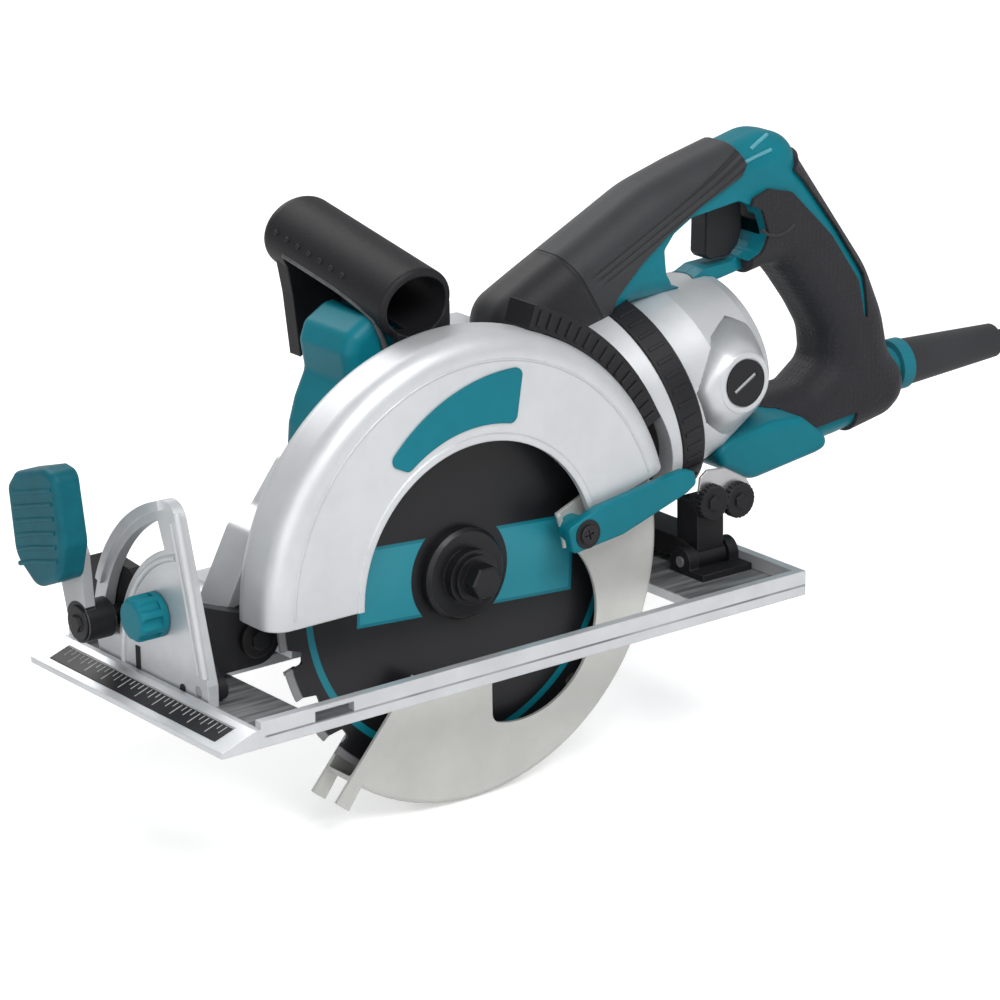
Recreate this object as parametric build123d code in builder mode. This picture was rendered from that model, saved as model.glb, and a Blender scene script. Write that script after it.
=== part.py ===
from build123d import *
import math
import os

os.makedirs("parts", exist_ok=True)

# Hypoid saw at rest: full cutting depth, square cut, lower guard closed.
# +X runs to the rear, +Y away from the blade side, +Z up. The origin lies on the shoe's
# underside, in the blade's plane, straight below the arbor.

# Fits and clearances
RUN_FIT = 0.05
SEAT_FIT = 0.03
PASS_GAP = 0.4

# Blade and arbor
BLADE_D = 185.0
BLADE_PLATE = 1.4
BLADE_KERF = 2.0
BLADE_TEETH = 24
GULLET_DEPTH = 9.0
BLADE_R = BLADE_D / 2
ARBOR_Z = 32.5
ARBOR_R = 7.94
BOLT_R = 4.0
BOLT_HEX_R = 7.5
FLANGE_R = 20.0
OUTER_FLANGE_T = 5.3
OUTER_BOSS_R = 12.0
OUTER_BOSS_T = 5.0
INNER_FLANGE_T = 5.8

# Guards
BLADE_TO_GUARD = 6.5
LOWER_WALL = 1.6
LOWER_SHOULDER = 3.0
LOWER_NEAR_Y = -10.0
LOWER_FAR_Y = 8.6
LOWER_FRONT_ANGLE = -131.0
LOWER_REAR_ANGLE = 22.0
LOWER_RIM = 51.0
LOWER_WINDOW_R = 41.5
LOWER_WINDOW_X = 24.0
LOWER_WINDOW_Z = -28.0
LOWER_WINDOW_FRONT = 9.0
LOWER_WINDOW_CORNER = 5.0
GUARD_TAIL = 11.0
GUARD_TO_GUARD = 3.5
UPPER_WALL = 2.5
UPPER_SHOULDER = 9.0
UPPER_NEAR_Y = -16.0
UPPER_FAR_Y = 14.0
UPPER_REAR_ANGLE = 16.0
UPPER_FRONT_ANGLE = 180.0
UPPER_RIM = 45.0
LOWER_R = BLADE_R + BLADE_TO_GUARD
LOWER_EYE_R = LOWER_R - LOWER_RIM
UPPER_R = LOWER_R + GUARD_TO_GUARD + UPPER_WALL
WINDOW_R = UPPER_R - UPPER_RIM
HUB_HOLE_R = 26.0
BADGE_T = 0.8
SHROUD_T = 11.0
SHROUD_NEAR_Y = -4.0
SHROUD_ANGLES = (24.0, 70.0)
LEVER_ANGLE = 12.0
LEVER_BOSS_AT = LOWER_EYE_R + 4.5
LEVER_BOSS_R = 6.0
LEVER_T = 4.5
LEVER_FAR_Y = -18.0
LEVER_TIP = UPPER_R + 8.0

# Spindle, its bearings and the guard's journal
SPINDLE_R = 8.5
SPINDLE_END_R = 5.0
SPINDLE_STEP_Y = 58.5
SPINDLE_END_Y = 68.0
NEAR_BEARING_R = 17.5
NEAR_BEARING_W = 10.0
NEAR_BEARING_Y = 24.5
END_BEARING_R = 13.0
END_BEARING_W = 8.0
JOURNAL_R = 24.0
JOURNAL_NEAR_Y = 6.9
RETAINER_FLANGE_R = 25.5
RETAINER_FLANGE_T = 2.8
SPIGOT_R = 20.5
LOCK_DISC_R = 22.8
LOCK_DISC_Y = 54.0
LOCK_DISC_T = 3.0
LOCK_NOTCHES = 12
LOCK_PIN_R = 2.0
LOCK_PIN_AT = 20.6
LOCK_TRAVEL = 3.5

# Hypoid pair
MOTOR_TILT = 15.0
HYPOID_OFFSET = 9.1
MOTOR_Y = 45.0
RING_TEETH = 39
PINION_TEETH = 7
RING_R = 23.0
RING_BACK_Y = 31.0
RING_FACE_Y = 39.3
RING_TOOTH_H = 1.5
RING_TOOTH_W = 0.5
PINION_TIP_R = 5.2
PINION_ROOT_R = 3.2
PINION_PITCH_R = 4.4
PINION_START = 11.5
PINION_END = 22.5

# Motor, measured along its shaft from the point nearest the arbor; it stands behind the guard's rim
SHAFT_R = 6.0
SHAFT_END_R = 5.0
SHAFT_NECK_R = 3.0
FRONT_BEARING_AT = 34.0
FRONT_BEARING_W = 10.0
FRONT_BEARING_R = 16.0
FAN_W = 13.0
FAN_R = 28.0
FAN_BLADES = 11
FAN_CHAMBER_R = 29.5
FAN_CHAMBER_AT = 52.0
FLANGE_AT = UPPER_R - 1.0
FAN_AT = FLANGE_AT - 20.0
BAFFLE_AT = FLANGE_AT + 18.0
MOTOR_AT = BAFFLE_AT + 14.0
MOTOR_END = MOTOR_AT + 54.0
MOTOR_TAPER_AT = MOTOR_AT + 20.0
FIELD_AT = FLANGE_AT + 14.0
FIELD_END = FIELD_AT + 34.0
CORE_AT = FIELD_AT
CORE_END = CORE_AT + 32.0
CORE_R = 24.0
CORE_AIR_GAP = 0.6
CORE_SLOTS = 12
COMMUTATOR_AT = CORE_END + 5.0
COMMUTATOR_END = COMMUTATOR_AT + 20.0
COMMUTATOR_R = 14.0
BRUSH_AT = (COMMUTATOR_AT + COMMUTATOR_END) / 2
BRUSH_W = 6.0
BRUSH_L = 9.0
BRUSH_HOLDER_R = 8.0
BRUSH_CAP_R = 10.5
BRUSH_BOSS_R = 14.0
REAR_BEARING_AT = COMMUTATOR_END + 3.0
REAR_BEARING_W = 8.0
REAR_BEARING_R = 11.0
MOTOR_R = 43.0
MOTOR_WALL = 2.5
COLLAR_R = 50.0
COLLAR_BORE_R = 41.0

# Gear housing
HOUSING_NEAR_Y = UPPER_FAR_Y
HOUSING_FAR_Y = 76.0
COVER_T = 5.0
GEAR_CHAMBER_R = 24.6
LUG_R = 12.0
NEAR_EAR_Y = (15.5, 25.5)
FAR_EAR_Y = (78.5, 88.0)
NOSE_X = -76.0

# Depth and bevel hardware
PIVOT_X = -92.0
PIVOT_Z = 20.0
PIVOT_PIN_R = 4.0
BEVEL_Z = 10.0
BEVEL_PIN_R = 2.5
BEVEL_BOLT_AT = 67.0
BEVEL_BOLT_ANGLE = 13.0
BEVEL_RANGE = 51.5
BEVEL_STUD_R = 4.0
PLATE_X = (-125.5, -120.0)
QUADRANT_T = 5.0
QUADRANT_R = 79.0
QUADRANT_SLOT = (59.0, 71.5)
DEPTH_RANGE = 30.0
DEPTH_GUIDE_R = 130.0
DEPTH_GUIDE_W = 14.0
DEPTH_GUIDE_Y = (82.4, 86.0)
DEPTH_BOLT_ANGLE = 12.0
DEPTH_STUD_R = 3.2
RAIL_Y = (86.0, 92.0)
RAIL_Z = (7.0, 17.0)
KNUCKLE_X = (125.5, 142.0)
KNUCKLE_R = 5.2

# Shoe
SHOE_X = (-151.0, 152.0)
SHOE_Y = (-46.0, 97.0)
SHOE_T = 4.5
RIM_H = 11.0
RIM_W = 4.0
SLOT_MARGIN = 3.0
SLOT_Y = (-33.0, 30.0)
SLOT_CORNER = 2.0
RIDGE_X = -132.0
RIDGE_H = 8.0
LIP_H = 2.5

# Handles; heights are above the arbor, and the rear handle is drawn for this guard
DRAWN_GUARD_R = 105.0
HANDLE_W = 32.0
HANDLE_Y = MOTOR_Y
HANDLE_EDGE = 12.0
SKIN_T = 2.0
GRIP_HALF = (18.0, 16.0)
GRIP_X = -7.0
GRIP_NEAR = (16.0, 113.0)
GRIP_FAR = (104.0, 129.0)
GRIP_BORE = (15.0, 12.8)
GRIP_END_WALL = 6.0
TRIGGER_W = 12.0
TRIGGER_PIVOT = (175.0, 125.0)
TRIGGER_PIN_R = 2.5

# Cord
CORD_D = 8.4
CORD_PITCH = 9.0
COIL_R = 66.0
COIL_HALF_TURNS_IN = 7
COIL_HALF_TURNS_OUT = 6
COIL_X = 384.0
COIL_Y = -32.0
TIE_T = 1.0
SLEEVE_X = (270.0, 346.0)
SLEEVE_RISE = 25.5
SLEEVE_R = (11.0, 8.0)

# Derived places
TILT = math.radians(MOTOR_TILT)
MOTOR_SHIFT = UPPER_R - DRAWN_GUARD_R
HANDLE_BASE = (MOTOR_SHIFT * math.cos(TILT), ARBOR_Z + MOTOR_SHIFT * math.sin(TILT))
DEPTH_BOLT_X = PIVOT_X + DEPTH_GUIDE_R * math.cos(math.radians(DEPTH_BOLT_ANGLE))
DEPTH_BOLT_Z = PIVOT_Z + DEPTH_GUIDE_R * math.sin(math.radians(DEPTH_BOLT_ANGLE))
BEVEL_BOLT_Y = BEVEL_BOLT_AT * math.cos(math.radians(BEVEL_BOLT_ANGLE))
BEVEL_BOLT_Z = BEVEL_Z + BEVEL_BOLT_AT * math.sin(math.radians(BEVEL_BOLT_ANGLE))
ARBOR_AXIS = Axis((0, 0, ARBOR_Z), (0, -1, 0))


def side_plane(y):
    """Plane square to the arbor at y, measured from the origin, facing the blade side."""
    return Plane(origin=(0, y, 0), x_dir=(1, 0, 0), z_dir=(0, -1, 0))


def arbor_plane(y, angle=0.0):
    """Plane square to the arbor at y, measured from the arbor, turned from +X towards +Z."""
    a = math.radians(angle)
    return Plane(origin=(0, y, ARBOR_Z), x_dir=(math.cos(a), 0, math.sin(a)), z_dir=(0, -1, 0))


def handle_plane(y, up=0.0):
    """Plane square to the arbor at y, measured from the place that the rear handle is drawn from."""
    return Plane(origin=(HANDLE_BASE[0], y, HANDLE_BASE[1] + up), x_dir=(1, 0, 0), z_dir=(0, -1, 0))


def radial_plane(angle):
    """Plane through the arbor: local x outwards at the angle, local y along +Y."""
    a = math.radians(angle)
    outwards = (math.cos(a), 0, math.sin(a))
    return Plane(origin=(0, 0, ARBOR_Z), x_dir=outwards, z_dir=(-math.sin(a), 0, math.cos(a)))


def cross_plane(x):
    """Plane across the saw at x: local x along +Y, local y up, facing the rear."""
    return Plane(origin=(x, 0, 0), x_dir=(0, 1, 0), z_dir=(1, 0, 0))


def motor_point(along, up=0.0):
    """Point above the motor's axis in its upright plane."""
    lift = HYPOID_OFFSET + up
    x = along * math.cos(TILT) - lift * math.sin(TILT)
    z = ARBOR_Z + along * math.sin(TILT) + lift * math.cos(TILT)
    return (x, MOTOR_Y, z)


def motor_plane(along):
    """Plane square to the motor's shaft: local x along +Y, local y up, facing the rear."""
    return Plane(origin=motor_point(along), x_dir=(0, 1, 0),
                 z_dir=(math.cos(TILT), 0, math.sin(TILT)))


def motor_side_plane():
    """Upright plane through the motor's shaft: local x along the shaft, local y up."""
    return Plane(origin=motor_point(0), x_dir=(math.cos(TILT), 0, math.sin(TILT)), z_dir=(0, -1, 0))


MOTOR_AXIS = Axis(motor_point(0), (math.cos(TILT), 0, math.sin(TILT)))


def disc(plane, radius, hole=0.0, at=(0, 0)):
    """Round sketch, with a round hole if one is given."""
    with BuildSketch(plane) as sketch:
        with Locations(at):
            Circle(radius)
            if hole:
                Circle(hole, mode=Mode.SUBTRACT)
    return sketch.sketch


def oval(plane, half_x, half_y):
    """Elliptical sketch."""
    with BuildSketch(plane) as sketch:
        Ellipse(half_x, half_y)
    return sketch.sketch


def outline(plane, points, radius=0.0):
    """Closed sketch with straight sides and rounded corners."""
    with BuildSketch(plane) as sketch:
        with BuildLine():
            if radius:
                FilletPolyline(*points, radius=radius, close=True)
            else:
                Polyline(*points, close=True)
        make_face()
    return sketch.sketch


def rect(plane, x, y):
    """Rectangle between two x values and two y values of a plane."""
    return outline(plane, [(x[0], y[0]), (x[1], y[0]), (x[1], y[1]), (x[0], y[1])])


def turned(points):
    """Closed sketch to turn about the motor's shaft, from (along, radius) points."""
    return outline(motor_side_plane(), points)


def polar(radius, angle):
    """Point at a radius and an angle in degrees."""
    a = math.radians(angle)
    return (radius * math.cos(a), radius * math.sin(a))


def sector(plane, inner, outer, start, end):
    """Ring sector between two radii and two angles."""
    with BuildSketch(plane) as sketch:
        with BuildLine():
            CenterArc((0, 0), outer, start, end - start)
            Line(polar(outer, end), polar(inner, end))
            CenterArc((0, 0), inner, end, start - end)
            Line(polar(inner, start), polar(outer, start))
        make_face()
    return sketch.sketch


def guard_section(angle, outer_r, near_r, far_r, near_y, far_y, wall, shoulder):
    """U section of a guard on the radial plane at an angle."""
    points = [(far_r, far_y), (outer_r, far_y), (outer_r, near_y), (near_r, near_y),
              (near_r, near_y + wall), (outer_r - wall, near_y + wall),
              (outer_r - wall, far_y - wall), (far_r, far_y - wall)]
    inside = shoulder - wall
    corner = (0, shoulder, shoulder, 0, 0, inside, inside, 0)
    return outline(radial_plane(angle), points, corner)


# Upper guard: a U channel over the blade, with a wide eye in its near face
GUARD_SCREWS = [polar(78, 62), polar(78, 100), polar(66, 150), polar(60, 40)]
SCREW_R = 2.0
with BuildPart() as upper_guard:
    revolve(guard_section(UPPER_REAR_ANGLE, UPPER_R, WINDOW_R, HUB_HOLE_R, UPPER_NEAR_Y,
                          UPPER_FAR_Y, UPPER_WALL, UPPER_SHOULDER),
            axis=ARBOR_AXIS, revolution_arc=UPPER_FRONT_ANGLE - UPPER_REAR_ANGLE)
    with BuildSketch(arbor_plane(UPPER_FAR_Y)):
        with Locations(*GUARD_SCREWS):
            Circle(SCREW_R + PASS_GAP / 2)
    extrude(amount=UPPER_WALL, mode=Mode.SUBTRACT)
    extrude(sector(arbor_plane(UPPER_NEAR_Y + UPPER_WALL), WINDOW_R, WINDOW_R + 3,
                   UPPER_REAR_ANGLE, UPPER_FRONT_ANGLE), amount=UPPER_WALL + 0.6)
upper_guard.part.label = "upper_guard"
export_step(upper_guard.part, "parts/upper_guard.step")

# Bare badge plate on the guard's near face
BADGE_TOP = [polar(UPPER_R - 29.8, 127.7), polar(UPPER_R - 21.7, 101.8), polar(UPPER_R - 13.6, 75.4)]
BADGE_LOW = [polar(UPPER_R - 37.8, 73.6), polar(UPPER_R - 38.1, 99.5), polar(UPPER_R - 39.7, 123.4)]
BADGE_CORNER = 3.5
with BuildPart() as guard_badge:
    with BuildSketch(arbor_plane(UPPER_NEAR_Y)) as badge_sketch:
        with BuildLine():
            ThreePointArc(*BADGE_TOP)
            Line(BADGE_TOP[-1], BADGE_LOW[0])
            ThreePointArc(*BADGE_LOW)
            Line(BADGE_LOW[-1], BADGE_TOP[0])
        make_face()
        fillet(badge_sketch.vertices(), radius=BADGE_CORNER)
    extrude(amount=BADGE_T)
guard_badge.part.label = "guard_badge"
export_step(guard_badge.part, "parts/guard_badge.step")

# Black strip along the guard's rim, up to the handle
with BuildPart() as guard_shroud:
    extrude(sector(arbor_plane(UPPER_FAR_Y - PASS_GAP), UPPER_R + PASS_GAP,
                   UPPER_R + SHROUD_T, *SHROUD_ANGLES),
            amount=UPPER_FAR_Y - PASS_GAP - SHROUD_NEAR_Y)
guard_shroud.part.label = "guard_shroud"
export_step(guard_shroud.part, "parts/guard_shroud.step")

# Lower guard: a thinner U channel turning on the retainer's journal
with BuildPart() as lower_guard:
    revolve(guard_section(LOWER_FRONT_ANGLE, LOWER_R, LOWER_EYE_R, JOURNAL_R, LOWER_NEAR_Y,
                          LOWER_FAR_Y, LOWER_WALL, LOWER_SHOULDER),
            axis=ARBOR_AXIS, revolution_arc=LOWER_REAR_ANGLE - LOWER_FRONT_ANGLE)
    extrude(disc(arbor_plane(LOWER_FAR_Y), JOURNAL_R + 6), amount=LOWER_WALL)
    for face_y in (LOWER_FAR_Y, LOWER_NEAR_Y + LOWER_WALL):
        extrude(sector(arbor_plane(face_y), LOWER_R - 8, LOWER_R + GUARD_TAIL,
                       LOWER_FRONT_ANGLE, LOWER_FRONT_ANGLE + 4), amount=LOWER_WALL)
    with BuildSketch(arbor_plane(LOWER_NEAR_Y + LOWER_WALL + 1)) as window_sketch:
        with Locations((LOWER_WINDOW_X, LOWER_WINDOW_Z)):
            Circle(LOWER_WINDOW_R)
        with Locations((LOWER_WINDOW_FRONT, 0)):
            Rectangle(BLADE_D, 2 * BLADE_D, align=(Align.MAX, Align.CENTER), mode=Mode.SUBTRACT)
        fillet(window_sketch.vertices(), radius=LOWER_WINDOW_CORNER)
    extrude(amount=LOWER_WALL + 2, mode=Mode.SUBTRACT)
    extrude(disc(arbor_plane(LOWER_FAR_Y + 1), JOURNAL_R + RUN_FIT), amount=LOWER_WALL + 2,
            mode=Mode.SUBTRACT)
    extrude(disc(arbor_plane(LOWER_NEAR_Y + LOWER_WALL + 1, LEVER_ANGLE), SCREW_R + SEAT_FIT,
                 at=(LEVER_BOSS_AT, 0)), amount=LOWER_WALL + 2, mode=Mode.SUBTRACT)
lower_guard.part.label = "lower_guard"
export_step(lower_guard.part, "parts/lower_guard.step")

# Lever that draws the lower guard back, in front of the upper guard
with BuildPart() as guard_lever:
    extrude(outline(arbor_plane(LEVER_FAR_Y, LEVER_ANGLE),
                    [(LEVER_BOSS_AT - 9, -6), (LEVER_BOSS_AT - 9, 6), (LEVER_BOSS_AT + 8, 8.5),
                     (LEVER_TIP - 5, 5.5), (LEVER_TIP, 3), (LEVER_TIP, -3),
                     (LEVER_TIP - 6, -5), (LEVER_BOSS_AT + 18, -8.5)], radius=2.5),
            amount=LEVER_T)
    fillet(guard_lever.faces().sort_by(Axis.Y)[0].edges(), radius=1.2)
    extrude(disc(arbor_plane(LOWER_NEAR_Y, LEVER_ANGLE), LEVER_BOSS_R, at=(LEVER_BOSS_AT, 0)),
            amount=LOWER_NEAR_Y - LEVER_FAR_Y)
    extrude(disc(arbor_plane(LOWER_NEAR_Y, LEVER_ANGLE), SCREW_R + SEAT_FIT, at=(LEVER_BOSS_AT, 0)),
            amount=LOWER_NEAR_Y - LEVER_FAR_Y + LEVER_T, mode=Mode.SUBTRACT)
guard_lever.part.label = "guard_lever"
export_step(guard_lever.part, "parts/guard_lever.step")

SCREW_HEAD_R = 4.0
SCREW_HEAD_T = 1.4
with BuildPart() as guard_lever_screw:
    extrude(disc(arbor_plane(LEVER_FAR_Y - LEVER_T, LEVER_ANGLE), SCREW_HEAD_R, at=(LEVER_BOSS_AT, 0)),
            amount=SCREW_HEAD_T)
    extrude(disc(arbor_plane(LOWER_NEAR_Y + LOWER_WALL, LEVER_ANGLE), SCREW_R, at=(LEVER_BOSS_AT, 0)),
            amount=LOWER_NEAR_Y + LOWER_WALL - LEVER_FAR_Y + LEVER_T)
    with BuildSketch(arbor_plane(LEVER_FAR_Y - LEVER_T - SCREW_HEAD_T, LEVER_ANGLE)):
        with Locations((LEVER_BOSS_AT, 0)):
            Rectangle(SCREW_HEAD_R * 1.2, 1.0)
            Rectangle(1.0, SCREW_HEAD_R * 1.2)
    extrude(amount=-1.0, mode=Mode.SUBTRACT)
guard_lever_screw.part.label = "guard_lever_screw"
export_step(guard_lever_screw.part, "parts/guard_lever_screw.step")

# Return spring of the lower guard, a flat ring open at one side
SPRING_R = (27.5, 33.5)
with BuildPart() as guard_spring:
    extrude(sector(arbor_plane(UPPER_FAR_Y - UPPER_WALL - 0.3), *SPRING_R, 30, 330), amount=1.8)
guard_spring.part.label = "guard_spring"
export_step(guard_spring.part, "parts/guard_spring.step")

# Blade: plate with gullets, and carbide tips a little wider than the plate
TIP_L = 5.5
TIP_W = 1.6
GULLET = outline(Plane.XY, [(BLADE_R + 2, -0.2), (BLADE_R - GULLET_DEPTH, 0.8),
                            (BLADE_R - GULLET_DEPTH - 1, -4.5), (BLADE_R - 4, -8.5),
                            (BLADE_R + 2, -9.5)], (0, 2, 2, 1, 0))
with BuildPart() as blade:
    with BuildSketch(arbor_plane(BLADE_PLATE / 2)):
        Circle(BLADE_R - 0.4)
        Circle(ARBOR_R + RUN_FIT, mode=Mode.SUBTRACT)
        with PolarLocations(0, BLADE_TEETH):
            add(GULLET, mode=Mode.SUBTRACT)
    extrude(amount=BLADE_PLATE)
    with BuildSketch(arbor_plane(BLADE_KERF / 2)):
        with PolarLocations(BLADE_R - TIP_L / 2, BLADE_TEETH, start_angle=0.6):
            Rectangle(TIP_L, TIP_W)
    extrude(amount=BLADE_KERF)
blade.part.label = "blade"
export_step(blade.part, "parts/blade.step")

# Flanges that hold the blade
with BuildPart() as inner_flange:
    extrude(disc(arbor_plane(BLADE_PLATE / 2 + INNER_FLANGE_T), FLANGE_R, ARBOR_R + RUN_FIT),
            amount=INNER_FLANGE_T)
    chamfer(inner_flange.faces().sort_by(Axis.Y)[-1].edges().sort_by(SortBy.RADIUS)[-1], length=1.0)
inner_flange.part.label = "inner_flange"
export_step(inner_flange.part, "parts/inner_flange.step")

OUTER_FACE_Y = -BLADE_PLATE / 2
OUTER_BOSS_Y = OUTER_FACE_Y - OUTER_FLANGE_T - OUTER_BOSS_T
with BuildPart() as outer_flange:
    extrude(disc(arbor_plane(OUTER_FACE_Y), FLANGE_R), amount=OUTER_FLANGE_T)
    extrude(disc(arbor_plane(OUTER_FACE_Y), OUTER_BOSS_R), amount=OUTER_FLANGE_T + OUTER_BOSS_T)
    chamfer(outer_flange.faces().filter_by(Axis.Y).sort_by(Axis.Y)[1].edges()
            .sort_by(SortBy.RADIUS)[-1], length=1.5)
    extrude(disc(arbor_plane(OUTER_FACE_Y), ARBOR_R + RUN_FIT), amount=OUTER_FLANGE_T - 1,
            mode=Mode.SUBTRACT)
    extrude(disc(arbor_plane(OUTER_FACE_Y), BOLT_R + PASS_GAP), amount=OUTER_FLANGE_T + OUTER_BOSS_T,
            mode=Mode.SUBTRACT)
outer_flange.part.label = "outer_flange"
export_step(outer_flange.part, "parts/outer_flange.step")

# Bolt that draws the outer flange home
WASHER_R = 10.0
WASHER_T = 2.0
BOLT_HEAD_T = 7.5
BOLT_DEPTH = 22.0
NOSE_END_Y = OUTER_FACE_Y - OUTER_FLANGE_T + 1.5
with BuildPart() as blade_bolt:
    extrude(disc(arbor_plane(OUTER_BOSS_Y), WASHER_R), amount=WASHER_T)
    with BuildSketch(arbor_plane(OUTER_BOSS_Y - WASHER_T)):
        RegularPolygon(BOLT_HEX_R, 6)
    extrude(amount=BOLT_HEAD_T)
    chamfer(blade_bolt.faces().sort_by(Axis.Y)[0].edges(), length=0.8)
    extrude(disc(arbor_plane(OUTER_BOSS_Y + BOLT_DEPTH), BOLT_R - SEAT_FIT), amount=BOLT_DEPTH)
blade_bolt.part.label = "blade_bolt"
export_step(blade_bolt.part, "parts/blade_bolt.step")

# Spindle: nose for the blade, two bearing seats, and a toothed disc for the shaft lock
INNER_FACE_Y = BLADE_PLATE / 2 + INNER_FLANGE_T
with BuildPart() as spindle:
    extrude(disc(arbor_plane(SPINDLE_END_Y), SPINDLE_END_R), amount=SPINDLE_END_Y - SPINDLE_STEP_Y)
    extrude(disc(arbor_plane(SPINDLE_STEP_Y), SPINDLE_R), amount=SPINDLE_STEP_Y - INNER_FACE_Y)
    extrude(disc(arbor_plane(INNER_FACE_Y), ARBOR_R), amount=INNER_FACE_Y - NOSE_END_Y)
    with BuildSketch(arbor_plane(LOCK_DISC_Y)):
        Circle(LOCK_DISC_R)
        with PolarLocations(LOCK_PIN_AT + 2, LOCK_NOTCHES, start_angle=90):
            Rectangle(9, 2 * LOCK_PIN_R + 0.8, mode=Mode.SUBTRACT)
    extrude(amount=LOCK_DISC_T)
    extrude(disc(arbor_plane(OUTER_BOSS_Y + BOLT_DEPTH + 2), BOLT_R),
            amount=BOLT_DEPTH + 20, mode=Mode.SUBTRACT)
spindle.part.label = "spindle"
export_step(spindle.part, "parts/spindle.step")

# Hypoid pair: each ring tooth follows the line that the pinion's helix draws on the ring
GEAR_RATIO = RING_TEETH / PINION_TEETH
MESH_AT = (PINION_START + PINION_END) / 2
HELIX = (MESH_AT - PINION_PITCH_R * GEAR_RATIO) / HYPOID_OFFSET / PINION_PITCH_R


def ring_tooth_point(along, side):
    """Point on a ring tooth's flank, where the motor's shaft passes over the ring."""
    radius = math.hypot(along, HYPOID_OFFSET)
    turn = math.asin(HYPOID_OFFSET / radius) - (HELIX * along + math.pi / PINION_TEETH) / GEAR_RATIO
    turn += TILT + side * RING_TOOTH_W / 2 / radius / math.cos(math.atan(HELIX * PINION_PITCH_R))
    return (radius * math.cos(turn), radius * math.sin(turn))


RING_TOOTH_STEPS = 5
RING_TOOTH_AT = [PINION_START + 0.5 + (PINION_END - PINION_START - 1.5) * i / (RING_TOOTH_STEPS - 1)
                 for i in range(RING_TOOTH_STEPS)]
RING_TOOTH = outline(Plane.XY, [ring_tooth_point(u, -1) for u in RING_TOOTH_AT]
                     + [ring_tooth_point(u, 1) for u in reversed(RING_TOOTH_AT)])
with BuildPart() as ring_gear:
    extrude(disc(arbor_plane(RING_FACE_Y), RING_R, SPINDLE_R + SEAT_FIT), amount=RING_FACE_Y - RING_BACK_Y)
    with BuildSketch(arbor_plane(RING_FACE_Y)):
        with PolarLocations(0, RING_TEETH):
            add(RING_TOOTH)
    extrude(amount=-RING_TOOTH_H, taper=8)
ring_gear.part.label = "ring_gear"
export_step(ring_gear.part, "parts/ring_gear.step")

PINION_L = PINION_END - PINION_START
TOOTH_FLANK = ((PINION_ROOT_R, -0.30), (PINION_TIP_R, -0.13), (PINION_TIP_R, 0.13), (PINION_ROOT_R, 0.30))


def pinion_point(tooth, radius, half):
    """Corner of a pinion tooth at its front end; a tooth that points to the ring is at half a turn."""
    a = math.pi + HELIX * PINION_START + 2 * math.pi * tooth / PINION_TEETH + half
    return (radius * math.cos(a), radius * math.sin(a))


with BuildPart() as pinion:
    pinion_face = outline(motor_plane(PINION_START), [pinion_point(tooth, *corner)
                                                      for tooth in range(PINION_TEETH)
                                                      for corner in TOOTH_FLANK]).faces()[0]
    add(Solid.extrude_linear_with_rotation(
        pinion_face, motor_point(PINION_START), motor_plane(0).z_dir * PINION_L,
        math.degrees(HELIX * PINION_L)))
    extrude(disc(motor_plane(PINION_END), PINION_TIP_R), amount=FRONT_BEARING_AT - 1.5 - PINION_END)
    extrude(disc(motor_plane(PINION_START - 1), SHAFT_NECK_R - 1), amount=FRONT_BEARING_AT,
            mode=Mode.SUBTRACT)
pinion.part.label = "pinion"
export_step(pinion.part, "parts/pinion.step")

# Armature: shaft, laminated core with slots, commutator and fan
with BuildPart() as armature_shaft:
    extrude(disc(motor_plane(PINION_START), SHAFT_NECK_R - 1 - SEAT_FIT),
            amount=FRONT_BEARING_AT - 1.5 - PINION_START)
    extrude(disc(motor_plane(FRONT_BEARING_AT - 1.5), SHAFT_R - RUN_FIT),
            amount=COMMUTATOR_END + 1.5 - FRONT_BEARING_AT + 1.5)
    extrude(disc(motor_plane(COMMUTATOR_END + 1.5), SHAFT_END_R - RUN_FIT),
            amount=REAR_BEARING_AT + REAR_BEARING_W - COMMUTATOR_END - 1.5)
armature_shaft.part.label = "armature_shaft"
export_step(armature_shaft.part, "parts/armature_shaft.step")

WINDING_R = 20.0
with BuildPart() as armature_core:
    with BuildSketch(motor_plane(CORE_AT)):
        Circle(CORE_R)
        Circle(SHAFT_R, mode=Mode.SUBTRACT)
        with PolarLocations(CORE_R, CORE_SLOTS):
            Rectangle(6, 2.4, mode=Mode.SUBTRACT)
    extrude(amount=CORE_END - CORE_AT)
    extrude(disc(motor_plane(CORE_AT - 4), WINDING_R, SHAFT_R), amount=CORE_END - CORE_AT + 8)
armature_core.part.label = "armature_core"
export_step(armature_core.part, "parts/armature_core.step")

with BuildPart() as commutator:
    with BuildSketch(motor_plane(COMMUTATOR_AT)):
        Circle(COMMUTATOR_R)
        Circle(SHAFT_R, mode=Mode.SUBTRACT)
        with PolarLocations(COMMUTATOR_R, 2 * CORE_SLOTS):
            Rectangle(1.6, 0.7, mode=Mode.SUBTRACT)
    extrude(amount=COMMUTATOR_END - COMMUTATOR_AT)
commutator.part.label = "commutator"
export_step(commutator.part, "parts/commutator.step")

with BuildPart() as fan:
    extrude(disc(motor_plane(FAN_AT), FAN_R, SHAFT_R), amount=2.5)
    extrude(disc(motor_plane(FAN_AT), SHAFT_R + 4, SHAFT_R), amount=FAN_W)
    with BuildSketch(motor_plane(FAN_AT + 2.5)):
        with PolarLocations((FAN_R + SHAFT_R + 6) / 2, FAN_BLADES):
            Rectangle(FAN_R - SHAFT_R - 7, 1.6, rotation=25)
    extrude(amount=FAN_W - 2.5)
fan.part.label = "fan"
export_step(fan.part, "parts/fan.step")

# Bearings: each is one ring with a groove on both sides between its races
GROOVE_DEPTH = 0.8


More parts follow.
